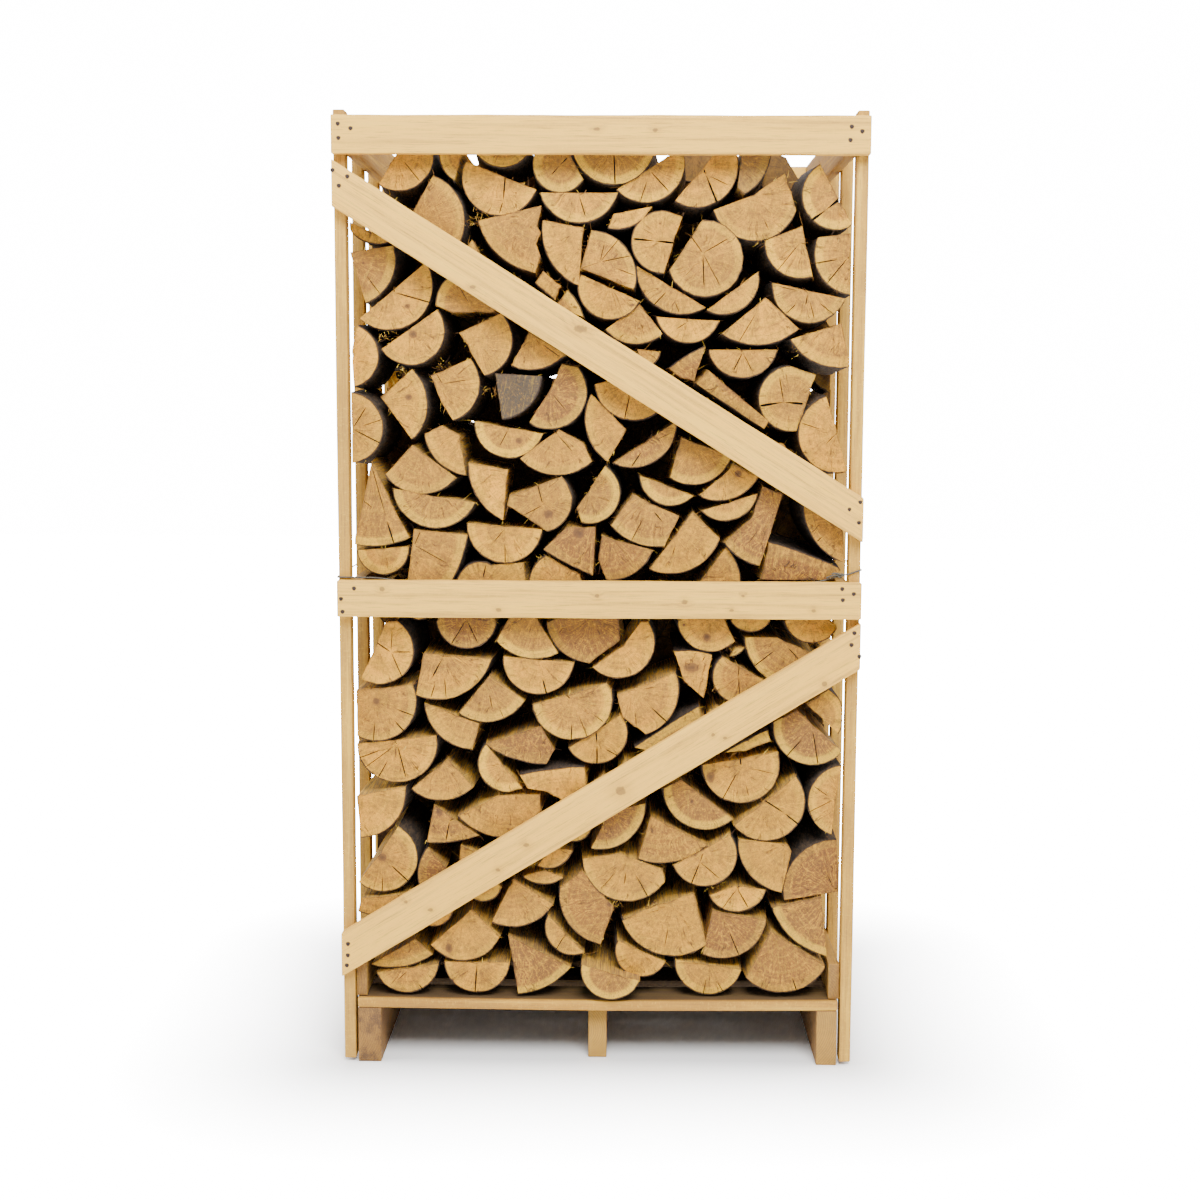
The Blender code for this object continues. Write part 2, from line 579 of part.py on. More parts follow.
def add_log_row(name, near, core_top, bare_face, mirrored, loose_name):
    """One row of logs as a solid of its form: the heart of the row is a block, and out of
    it come the log ends, the logs along the sides and those of the top course. Where
    loose_name is given, the logs that lie wholly above the block are pieces of their own."""
    far = near + LOG_LENGTH
    chance = np.random.default_rng(ROW_SEEDS[name])
    core_near = near + (CORE_SETBACK if bare_face == "front" else CORE_CLEARANCE)
    core_far = far - (CORE_SETBACK if bare_face == "back" else CORE_CLEARANCE)
    row = add_board(name, (-CORE_HALF_WIDTH, core_near, DECK_TOP + TOUCH_GAP),
                    (CORE_HALF_WIDTH, core_far, core_top), OAK)
    row.data.transform(Matrix.Translation(row.location))
    row.location = (0.0, 0.0, 0.0)
    ends = bmesh.new()
    loose = 0
    for marks in LOGS:
        pushed = float(chance.uniform(-LOG_END_SPREAD, LOG_END_SPREAD))
        pulled = marks[0] == PULLED_OUT_LOG and bare_face == "front"
        setback = PULLED_OUT_SETBACK if pulled else LOG_SETBACK
        outline = log_outline(marks, setback, WIDE_SEGMENTS[bare_face])
        if mirrored:
            outline = [(-x, z) for x, z in reversed(outline)]
        lowest = min(z for x, z in outline)
        at_side = max(abs(x) for x, z in outline) > CORE_HALF_WIDTH
        at_top = max(z for x, z in outline) > core_top
        log_near = FRONT + setback if pulled else near + max(LEAST_PUSH, pushed)
        log_far = far - ROW_GAP + min(MOST_PUSH, pushed)
        if lowest > core_top + LOG_CLEARANCE:
            if loose_name:
                loose += 1
                mesh = log_solid(outline, log_near, log_far)
                add_piece(f"{loose_name}_{loose:02d}", mesh, OAK)
            continue
        if not (at_side or at_top):
            if bare_face == "front":
                log_far = core_near + LOG_ROOT
            elif bare_face == "back":
                log_near = core_far - LOG_ROOT
            else:
                continue
        ends.from_mesh(log_solid(outline, log_near, log_far))
    mesh = bpy.data.meshes.new(name + "_ends")
    ends.to_mesh(mesh)
    ends.free()
    holder = bpy.data.objects.new(name + "_ends", mesh)
    CUTTERS.objects.link(holder)
    union(row, holder)
    for side in (-1, 1):
        for low, high in side_rail_spans().values():
            size = (BOARD_THICKNESS + SIDE_RAIL_ROOM, POST_DEPTH_SPAN, high - low + SIDE_RAIL_ROOM)
            slot = bpy.data.objects.new("side_rail_room", box_mesh("side_rail_room", size))
            slot.location = (side * SIDE_RAIL_X, 0.0, (low + high) / 2)
            CUTTERS.objects.link(slot)
            cut(row, slot)
    row.data.materials.clear()
    row.data.materials.append(OAK)


clear_scene()
PARTS = collection("firewood_crate")
CUTTERS = collection("cutters")
GUIDES = collection("guides")
PINE = material("pine board", (0.72, 0.55, 0.34), 0.65)
PINE_DARK = material("pine floor board", (0.66, 0.49, 0.29), 0.70)
SAWN_END = material("sawn skid", (0.55, 0.37, 0.18), 0.80)
OAK = material("split oak", (0.62, 0.43, 0.22), 0.75)
TWINE = material("blue grey twine", (0.20, 0.24, 0.28), 0.80)

add_posts()
add_skids()
add_deck()
add_side_rails()
add_face_frame("front", -1)
add_face_frame("back", 1)
add_twine()

FIRST_ROW = -1.5 * LOG_LENGTH - (LOG_ROW_PITCH - LOG_LENGTH)
add_log_row("logs_front_row", FIRST_ROW, CORE_TOP["front"], "front", False, "top_log")
add_log_row("logs_middle_row", FIRST_ROW + LOG_ROW_PITCH, CORE_TOP["middle"], "none", True, None)
add_log_row("logs_back_row", FIRST_ROW + 2 * LOG_ROW_PITCH, CORE_TOP["back"], "back", False, None)
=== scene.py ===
import math

import bmesh
import bpy
import numpy as np
from mathutils import Matrix, Vector


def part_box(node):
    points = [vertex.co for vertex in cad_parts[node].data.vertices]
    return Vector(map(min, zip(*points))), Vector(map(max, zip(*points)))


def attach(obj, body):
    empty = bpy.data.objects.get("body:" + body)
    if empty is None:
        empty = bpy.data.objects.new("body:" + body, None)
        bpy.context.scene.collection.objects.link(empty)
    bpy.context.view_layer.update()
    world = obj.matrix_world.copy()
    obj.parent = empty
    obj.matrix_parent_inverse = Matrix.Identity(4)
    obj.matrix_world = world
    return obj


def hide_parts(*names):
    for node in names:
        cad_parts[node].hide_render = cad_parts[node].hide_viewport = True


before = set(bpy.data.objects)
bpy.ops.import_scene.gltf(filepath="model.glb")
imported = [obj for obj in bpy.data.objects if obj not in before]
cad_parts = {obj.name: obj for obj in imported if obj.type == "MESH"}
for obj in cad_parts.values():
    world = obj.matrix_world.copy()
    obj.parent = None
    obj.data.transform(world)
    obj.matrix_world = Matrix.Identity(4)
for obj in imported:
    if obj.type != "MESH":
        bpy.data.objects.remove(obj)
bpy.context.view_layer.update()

# The view. The crate stands on a pale floor and is seen from in front, a little above
# its middle and a hair to the right. Soft light comes from all round it, most of it from
# high in front, as in a picture taken under an overcast sky.
FRONT_OF_POSTS = -0.400
BACK_OF_POSTS = 0.400
EYE = Vector((0.0476, FRONT_OF_POSTS - 3.7575, 1.4713))
EYE_DOWN = math.radians(6.645)
EYE_LEFT = math.radians(0.690)
EYE_ROLL = math.radians(0.228)
FRAME_PIXELS = 1200.0
FOCAL_PIXELS = 1762.2
FILM_WIDTH = 36.0

level_ahead = Vector((-math.sin(EYE_LEFT), math.cos(EYE_LEFT), 0.0))
level_right = Vector((math.cos(EYE_LEFT), math.sin(EYE_LEFT), 0.0))
up = Vector((0.0, 0.0, 1.0))
ahead = level_ahead * math.cos(EYE_DOWN) - up * math.sin(EYE_DOWN)
above = level_ahead * math.sin(EYE_DOWN) + up * math.cos(EYE_DOWN)
eye_right = level_right * math.cos(EYE_ROLL) + above * math.sin(EYE_ROLL)
eye_up = above * math.cos(EYE_ROLL) - level_right * math.sin(EYE_ROLL)

lens = bpy.data.cameras.new("eye")
lens.sensor_width = FILM_WIDTH
lens.lens = FILM_WIDTH * FOCAL_PIXELS / FRAME_PIXELS
lens.clip_end = 60.0
camera = bpy.data.objects.new("eye", lens)
camera.matrix_world = Matrix.Translation(EYE) @ Matrix((eye_right, eye_up, -ahead)).transposed().to_4x4()
bpy.context.scene.collection.objects.link(camera)
bpy.context.scene.camera = camera


class Tone:
    """A value that varies over a surface. Sums written with it add Math nodes."""

    def __init__(self, finish, socket):
        self.finish = finish
        self.socket = socket

    def sum(self, operation, *others):
        settings = {"operation": operation}
        inputs = {number: other for number, other in enumerate((self, *others))}
        return self.finish.add("ShaderNodeMath", settings, inputs)

    def __add__(self, other):
        return self.sum("ADD", other)

    __radd__ = __add__

    def __mul__(self, other):
        return self.sum("MULTIPLY", other)

    __rmul__ = __mul__

    def __sub__(self, other):
        return self.sum("SUBTRACT", other)

    def __rsub__(self, other):
        return self.finish.add("ShaderNodeMath", {"operation": "SUBTRACT"}, {0: other, 1: self})

    def __pow__(self, other):
        return self.sum("POWER", other)

    def sine(self):
        return self.sum("SINE")

    def root(self):
        return self.sum("SQRT")

    def most(self, other):
        return self.sum("MAXIMUM", other)

    def least(self, other):
        return self.sum("MINIMUM", other)

    def rise(self, low, high):
        """0 below low, 1 above high, and a smooth step between."""
        settings = {"interpolation_type": "SMOOTHSTEP"}
        inputs = {"Value": self, "From Min": low, "From Max": high}
        return self.finish.add("ShaderNodeMapRange", settings, inputs)


class Finish:
    """A material that is built up from nodes."""

    def __init__(self, name):
        self.material = bpy.data.materials.new(name)
        self.material.use_nodes = True
        self.tree = self.material.node_tree
        self.shader = self.tree.nodes["Principled BSDF"]

    def add(self, kind, settings=None, inputs=None, output=0):
        """Adds a node of a kind, sets it, feeds its sockets, and gives one of its outputs."""
        node = self.tree.nodes.new(kind)
        for name, value in (settings or {}).items():
            setattr(node, name, value)
        for name, value in (inputs or {}).items():
            self.feed(node.inputs[name], value)
        return Tone(self, node.outputs[output])

    def feed(self, socket, value):
        if isinstance(value, Tone):
            self.tree.links.new(value.socket, socket)
        else:
            socket.default_value = value

    def attribute(self, name, output="Vector"):
        return self.add("ShaderNodeAttribute", {"attribute_name": name}, output=output)

    def place(self):
        return self.add("ShaderNodeTexCoord", output="Object")

    def parts(self, vector):
        """The three numbers of a vector."""
        node = self.tree.nodes.new("ShaderNodeSeparateXYZ")
        self.feed(node.inputs[0], vector)
        return [Tone(self, output) for output in node.outputs]

    def vector(self, x, y, z):
        return self.add("ShaderNodeCombineXYZ", None, {0: x, 1: y, 2: z})

    def stretch(self, vector, scale):
        return self.move("MULTIPLY", vector, scale)

    def move(self, operation, vector, *others, output=0):
        """A vector put through a Vector Math node."""
        inputs = {number: other for number, other in enumerate((vector, *others))}
        return self.add("ShaderNodeVectorMath", {"operation": operation}, inputs, output)

    def noise(self, vector, scale=1.0, detail=2.0, roughness=0.5):
        inputs = {"Vector": vector, "Scale": scale, "Detail": detail, "Roughness": roughness}
        return self.add("ShaderNodeTexNoise", None, inputs)

    def blend(self, amount, first, second):
        """Colours mixed by an amount: sockets 6 and 7 of a Mix node are its colours."""
        return self.add("ShaderNodeMix", {"data_type": "RGBA"}, {0: amount, 6: first, 7: second}, output=2)

    def coats(self, colour, *coats):
        """A colour under further colours, each laid on by its own amount."""
        for amount, coat in coats:
            colour = self.blend(amount, colour, paint(*coat))
        return colour

    def relief(self, height, strength, distance):
        inputs = {"Height": height, "Strength": strength, "Distance": distance}
        return self.add("ShaderNodeBump", None, inputs)

    def wear(self, colour, roughness, normal=None):
        self.feed(self.shader.inputs["Base Color"], colour)
        self.feed(self.shader.inputs["Roughness"], roughness)
        if normal:
            self.feed(self.shader.inputs["Normal"], normal)
        return self.material


def paint(red, green, blue):
    """A base colour, in shares of the light that it gives back."""
    return (red, green, blue, 1.0)


def soft_panel(name, place, aim, size, power):
    """A square studio light at a place, turned to face a point."""
    panel = bpy.data.lights.new(name, "AREA")
    panel.shape = "SQUARE"
    panel.size = size
    panel.energy = power
    light = bpy.data.objects.new(name, panel)
    light.location = place
    light.rotation_euler = (Vector(aim) - Vector(place)).to_track_quat("-Z", "Y").to_euler()
    bpy.context.scene.collection.objects.link(light)


soft_panel("light_high_front", (0.8, -4.4, 5.4), (0.0, 0.0, 1.1), 3.0, 800.0)
soft_panel("light_left", (-4.4, -1.2, 3.6), (0.0, 0.0, 1.0), 2.8, 190.0)
soft_panel("light_right", (4.4, 0.6, 3.6), (0.0, 0.0, 1.0), 2.8, 185.0)
soft_panel("light_back", (-0.9, 4.8, 4.4), (0.0, 0.0, 1.0), 3.2, 200.0)

SKY_LIGHT = 0.70            # what falls on the crate
SKY_SEEN = 16.0             # what the eye sees behind it, a white page
sky = bpy.data.worlds.new("studio")
sky.use_nodes = True
sky_nodes = sky.node_tree
backdrop = sky_nodes.nodes["Background"]
backdrop.inputs["Color"].default_value = (1.0, 1.0, 1.0, 1.0)
seen = sky_nodes.nodes.new("ShaderNodeLightPath")
strength = sky_nodes.nodes.new("ShaderNodeMapRange")
strength.inputs["To Min"].default_value = SKY_LIGHT
strength.inputs["To Max"].default_value = SKY_SEEN
sky_nodes.links.new(seen.outputs["Is Camera Ray"], strength.inputs["Value"])
sky_nodes.links.new(strength.outputs["Result"], backdrop.inputs["Strength"])
bpy.context.scene.world = sky

FLOOR_REACH = 14.0
CRATE_FOOT = (0.530, 0.380, 0.0)    # beyond this the floor glows as painted light, seen by the eye only, rising from a painted soft shadow at the crate's foot
GLOW_REACH = 0.9
GLOW_TIMES_SKY = 1.6
GLOW_CURVE = 1.2
floor_mesh = bpy.data.meshes.new("floor")
floor_mesh.from_pydata(
    [(-FLOOR_REACH, -FLOOR_REACH, 0), (FLOOR_REACH, -FLOOR_REACH, 0),
     (FLOOR_REACH, FLOOR_REACH, 0), (-FLOOR_REACH, FLOOR_REACH, 0)],
    [], [(0, 1, 2, 3)],
)
floor = bpy.data.objects.new("floor", floor_mesh)
bpy.context.scene.collection.objects.link(floor)
# The floor's glow is painted light: it is nothing at the crate's foot and grows outwards over GLOW_REACH,
# which paints a soft shadow round the crate and a white floor beyond it.
floor_look = Finish("pale floor with painted glow")
floor_look.shader.inputs["Emission Strength"].default_value = SKY_SEEN * GLOW_TIMES_SKY
beyond = floor_look.move("SUBTRACT", floor_look.move("ABSOLUTE", floor_look.place()), CRATE_FOOT)
away = floor_look.move("LENGTH", floor_look.move("MAXIMUM", beyond), output=1)
glow = floor_look.add("ShaderNodeMapRange", None, {"Value": away, "From Max": GLOW_REACH}) ** GLOW_CURVE
floor_look.feed(floor_look.shader.inputs["Emission Color"], glow * floor_look.add("ShaderNodeLightPath"))
floor_mesh.materials.append(floor_look.wear((0.93, 0.93, 0.93, 1.0), 0.7))


# The skids. Three rough-sawn softwood bearers run from front to back under the floor and
# carry the whole crate; the middle one is set back. Their brown sawn ends show in front.
def tube_faces(tubes, rows, columns, closed=False):
    """The four-cornered faces of tubes, one after another: each has rows of points, which
    go round it in columns. A closed tube's last row joins its first."""
    start = np.arange(tubes)[:, None, None] * rows * columns
    row = np.arange(rows if closed else rows - 1)[:, None]
    this = np.arange(columns)
    after = (this + 1) % columns
    here, there = start + row * columns, start + (row + 1) % rows * columns
    return np.stack([here + this, here + after, there + after, there + this], -1)


def outside_in(faces):
    """Faces turned to look the other way, each from the same first corner."""
    return np.roll(faces[..., ::-1], 1, -1)


def finish_object(name, points, faces, looks, face_looks=None, values=None, soft_angle=40.0, weld=False):
    """Puts worked-out points and faces into one piece, with its materials and the named
    values that its materials read, and welds points that fall together where asked. The
    piece rides on the crate."""
    mesh = bpy.data.meshes.new(name)
    mesh.from_pydata(points.tolist(), [], faces)
    for look in looks:
        mesh.materials.append(look)
    if face_looks is not None:
        mesh.polygons.foreach_set("material_index", np.asarray(face_looks, np.int32))
    for title, numbers in (values or {}).items():
        numbers = np.asarray(numbers, np.float32)
        kind = "FLOAT" if numbers.ndim == 1 else "FLOAT_VECTOR"
        entry = mesh.attributes.new(title, kind, "POINT")
        entry.data.foreach_set("value" if kind == "FLOAT" else "vector", numbers.ravel())
    if weld:
        shape = bmesh.new()
        shape.from_mesh(mesh)
        bmesh.ops.remove_doubles(shape, verts=shape.verts, dist=0.00001)
        shape.to_mesh(mesh)
        shape.free()
    mesh.shade_smooth()
    mesh.set_sharp_from_angle(angle=math.radians(soft_angle))
    mesh.validate()
    piece = bpy.data.objects.new(name, mesh)
    bpy.context.scene.collection.objects.link(piece)
    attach(piece, "root")
    return piece


BOARD_EDGE = 0.0016         # how far a sawn edge is worn round
BOARD_ROW = 0.035           # distance between two cross-sections


def sawn_board(name, node, look, seed, along, across, size=None, slant=0.0, dip=0.0):
    """A board in place of a CAD board: a rectangle with worn corners, carried along the
    middle of the board. Its sides pull in by two slow waves of the distance along it. Its
    ends are cut square, or slanted by so many metres for each metre of width, and its
    middle may dip by a quarter wave from each end."""
    low, high = (np.array(corner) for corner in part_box(node))
    middle = (low + high) / 2
    chance = np.random.default_rng(seed)
    along = np.array(along, float)
    across = np.array(across, float)
    through = np.cross(along, across)
    length, width = size or (float(abs(along) @ (high - low)), float(abs(across) @ (high - low)))
    thick = float(abs(through) @ (high - low)) - abs(dip)
    half_w, half_t, edge = width / 2, thick / 2, BOARD_EDGE
    soft = edge * (1 - math.sqrt(0.5))
    flat = np.linspace(-half_w + edge, half_w - edge, 7)
    rim = np.linspace(half_t - edge, -half_t + edge, 3)
    side = [(a, half_t) for a in flat] + [(half_w - soft, half_t - soft)] + [(half_w, d) for d in rim]
    side += [(half_w - soft, -half_t + soft)]
    profile = np.array(side + [(-a, -d) for a, d in side])
    rows = max(6, int(length / BOARD_ROW))
    way = np.concatenate(([-length / 2, -length / 2 + edge], np.linspace(-length / 2, length / 2, rows)[1:-1],
                          [length / 2 - edge, length / 2]))
    shrink = np.ones(len(way))
    shrink[[0, -1]] = 0.0
    phase = chance.uniform(0, math.tau, 4)
    pull = 0.0006 + 0.0004 * np.sin(way * 17 + phase[0]) + 0.0002 * np.sin(way * 53 + phase[1])
    cup = 0.0007 + 0.0002 * np.sin(way * 9 + phase[2])
    a = profile[None, :, 0] * (1 - (pull[:, None] + edge * (1 - shrink[:, None])) / half_w)
    d = profile[None, :, 1] * (1 - (cup[:, None] + edge * (1 - shrink[:, None])) / half_t)
    s = way[:, None] + slant * a
    sunk = dip * (np.sin(math.pi / 2 * np.clip(1 - abs(s) / (length / 2), 0, 1)) - 0.5)
    points = middle + s[..., None] * along + a[..., None] * across + d[..., None] * through
    points[..., 2] -= sunk
    count = len(profile)
    faces = outside_in(tube_faces(1, len(way), count)).reshape(-1, 4)
    caps = [list(range(count)), list(range(count * len(way) - 1, count * (len(way) - 1) - 1, -1))]
    heart = chance.uniform([-0.05, 0.02], [0.05, 0.10])
    grain = np.stack([s + chance.uniform(0, 40), a + heart[0], d + heart[1]], -1).reshape(-1, 3)
    ends = np.zeros((len(way), count))
    ends[[0, -1]] = 1.0
    tint = np.full(ends.size, chance.uniform(0, 1))
    piece = finish_object(name, points.reshape(-1, 3), faces.tolist() + caps, [look],
                          values={"grain": grain, "cut_end": ends.ravel(), "board_tint": tint})
    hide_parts(node)
    return piece


def skid_finish():
    """Rough brown softwood: its end shows dark and light rings and crumbs of sawdust."""
    look = Finish("rough skid timber")
    grain = look.attribute("grain")
    cut = look.attribute("cut_end", "Fac")
    along, across, deep = look.parts(grain)
    drift = look.noise(look.vector(along * 2.0, across * 12.0, deep * 12.0), 1.0, 3.0)
    radius = ((across + drift * 0.02) ** 2.0 + deep * deep).root()
    bands = (radius * 1300.0).sine() * 0.5 + 0.5
    blotch = look.noise(look.stretch(look.place(), (26.0, 9.0, 26.0)), 1.0, 5.0, 0.65)
    speck = look.noise(look.place(), 420.0, 3.0, 0.7)
    fibre = look.noise(look.vector(along * 9.0, across * 700.0, deep * 700.0), 1.0, 4.0, 0.65)
    long_face = look.blend(blotch.rise(0.3, 0.7), paint(0.272, 0.134, 0.028), paint(0.174, 0.0836, 0.0232))
    long_face = look.blend((1 - fibre.rise(0.38, 0.48)) * 0.5, long_face, paint(0.0644, 0.0327, 0.0135))
    x, y, z = look.parts(look.place())
    pale = x.rise(-0.3, -0.1) * (1 - x.rise(0.1, 0.3) * 0.3)
    raw = look.blend(blotch.rise(0.38, 0.62), paint(0.272, 0.134, 0.028), paint(0.108, 0.0542, 0.0206))
    raw = look.coats(
        raw,
        (pale * 0.7, (0.573, 0.319, 0.0423)),
        (bands * 0.35, (0.0787, 0.0401, 0.0155)),
        (speck.rise(0.52, 0.68) * 0.45, (0.617, 0.294, 0.0172)),
    )
    wood = look.blend(cut, long_face, raw)
    height = fibre * 0.5 + speck * 0.6 + bands * 0.3
    return look.wear(wood, 0.85 - speck * 0.1, look.relief(height, 0.6, 0.0009))


rough_skid = skid_finish()
for side, seed in (("left", 11), ("middle", 12), ("right", 13)):
    sawn_board(f"timber_skid_{side}", f"skid_{side}", rough_skid, seed, (0, 1, 0), (0, 0, 1))


# The floor. Six short pine boards lie across the skids, with gaps between, and are nailed
# down to them. They are browner than the frame and dip a little between the outer skids.
def pine(name, fresh, aged, knots=(), painted_shade=0.0):
    """Sawn pine: long streaks of the grain, darker late wood, a worn grey-brown cast, saw
    fuzz across the face, and darker cut ends. Knots are brown spots at places in metres,
    each with its half width and half height. Painted shade darkens boards between the
    front and the back edge of the crate, where the logs lie on them and shade them."""
    look = Finish(name)
    grain = look.attribute("grain")
    cut = look.attribute("cut_end", "Fac")
    tint = look.attribute("board_tint", "Fac")
    place = look.place()
    rough_spot = look.noise(place, 160.0, 2.0) - 0.5
    knot = 0.0
    swirl = 0.0
    for x, y, z, half_width, half_height in knots:
        off = look.move("SUBTRACT", place, (x, y, z))
        off = look.stretch(off, (1 / half_width, 1 / half_width, 1 / half_height))
        gap = look.move("LENGTH", off, output=1) + rough_spot
        spot = 1 - gap.rise(0.7, 1.2)
        halo = 1 - gap.rise(0.8, 4.0)
        knot = spot if not knot else spot.most(knot)
        swirl = halo if not swirl else halo.most(swirl)
    along, across, deep = look.parts(grain)
    drift = look.noise(look.vector(along * 1.6, across * 9.0, deep * 9.0), 1.0, 3.0, 0.5)
    bend = drift * 0.034 + (swirl * 0.010 if knots else 0.0)
    radius = ((across + bend) * (across + bend) + deep * deep).root()
    bands = (radius * 1150.0).sine() * 0.5 + 0.5
    late = bands.rise(0.35, 1.0)
    fibre = look.noise(look.vector(along * 12.0, across * 520.0, deep * 520.0), 1.0, 5.0, 0.7)
    streak = look.noise(look.vector(along * 2.2, across * 75.0, deep * 75.0), 1.0, 5.0, 0.65)
    patch = look.noise(look.stretch(place, (4.0, 4.0, 6.0)), 1.0, 4.0, 0.6)
    fuzz = look.noise(look.vector(along * 300.0, across * 120.0, deep * 120.0), 1.0, 4.0, 0.75)
    wood = look.blend(tint * 0.3 + patch.rise(0.36, 0.64) * 0.5, paint(*fresh), paint(*aged))
    wood = look.coats(
        wood,
        (late * streak.rise(0.40, 0.60) * 0.35, (0.305, 0.153, 0.027)),
        (streak.rise(0.50, 0.66) * 0.30, (0.325, 0.167, 0.0306)),
        ((1 - streak.rise(0.34, 0.48)) * 0.40, (0.82, 0.502, 0.0571)),
        ((1 - fibre.rise(0.34, 0.47)) * 0.55, (0.161, 0.0833, 0.0253)),
        (fuzz.rise(0.52, 0.68) * 0.35, (0.82, 0.522, 0.0698)),
    )
    if knots:
        wood = look.coats(
            wood,
            (swirl * 0.22, (0.311, 0.135, 0.0246)),
            (knot * 0.60, (0.0873, 0.0447, 0.0197)),
        )
    ring_end = look.noise(place, 200.0, 4.0, 0.7).rise(0.38, 0.62)
    raw = look.blend(ring_end * 0.5 + bands * 0.4, paint(0.305, 0.153, 0.027), paint(0.104, 0.0543, 0.0208))
    wood = look.blend(cut * 0.8, wood, raw)
    if painted_shade:
        x, y, z = look.parts(place)
        # painted shade on the boards inside the crate, under the logs
        inside = y.sum("ABSOLUTE").rise(0.398, 0.384)
        wood = look.blend(inside * painted_shade, wood, paint(0.0207, 0.0151, 0.0102))
    height = fibre * 0.6 + streak * 0.5 + fuzz * 0.5 + late * 0.3
    return look.wear(wood, 0.78 - late * 0.1 + fuzz * 0.1, look.relief(height, 0.6, 0.0008))


floor_pine = pine("floor board pine", (0.412, 0.208, 0.0253), (0.221, 0.112, 0.0256))
# The floor boards get painted shade inside the crate, under the logs.
shaded_pine = pine("floor board pine with dust", (0.536, 0.261, 0.0221), (0.269, 0.129, 0.025), painted_shade=0.85)
for number in range(1, 7):
    sawn_board(f"floor_board_{number}", f"deck_board_{number}", shaded_pine, 20 + number, (1, 0, 0),
               (0, 1, 0), dip=0.004)


# The posts. Eight thin pine uprights, four to a side, stand just clear of the ground, with
# their narrow faces to the front. They are sawn, a little furry, with small worn corners.
post_pine = pine("post pine", (0.563, 0.303, 0.0352), (0.348, 0.185, 0.0313))
for side in ("left", "right"):
    for number in range(1, 5):
        sawn_board(f"upright_{side}_{number}", f"post_{side}_{number}", post_pine,
                   30 + number + (10 if side == "left" else 0), (0, 0, 1), (0, 1, 0))


# The side rails. Three pine boards at each side run from front to back, inside the posts,
# and are nailed to them: one on the floor, one at half height and one at the top.
for side in ("left", "right"):
    for level, seed in (("bottom", 51), ("middle", 52), ("top", 53)):
        sawn_board(f"side_board_{side}_{level}", f"side_rail_{side}_{level}", floor_pine,
                   seed + (10 if side == "left" else 0), (0, 1, 0), (0, 0, 1))


# The logs. Short lengths of split oak lie from front to back in three rows, their sawn ends
# flush at the front and the back. Each has an arc of bark and flat faces left by the axe.
LOG_TINTS = {               # how warm, how orange and how grey a log's wood is
    "t": (0.35, 0.12, 0.05),    # tan
    "l": (0.05, 0.0, 0.0),      # light
    "o": (0.45, 0.70, 0.0),     # orange
    "g": (0.6, 0.1, 0.80),      # grey
    "b": (0.8, 0.2, 0.5),       # dark, with its bark on
}
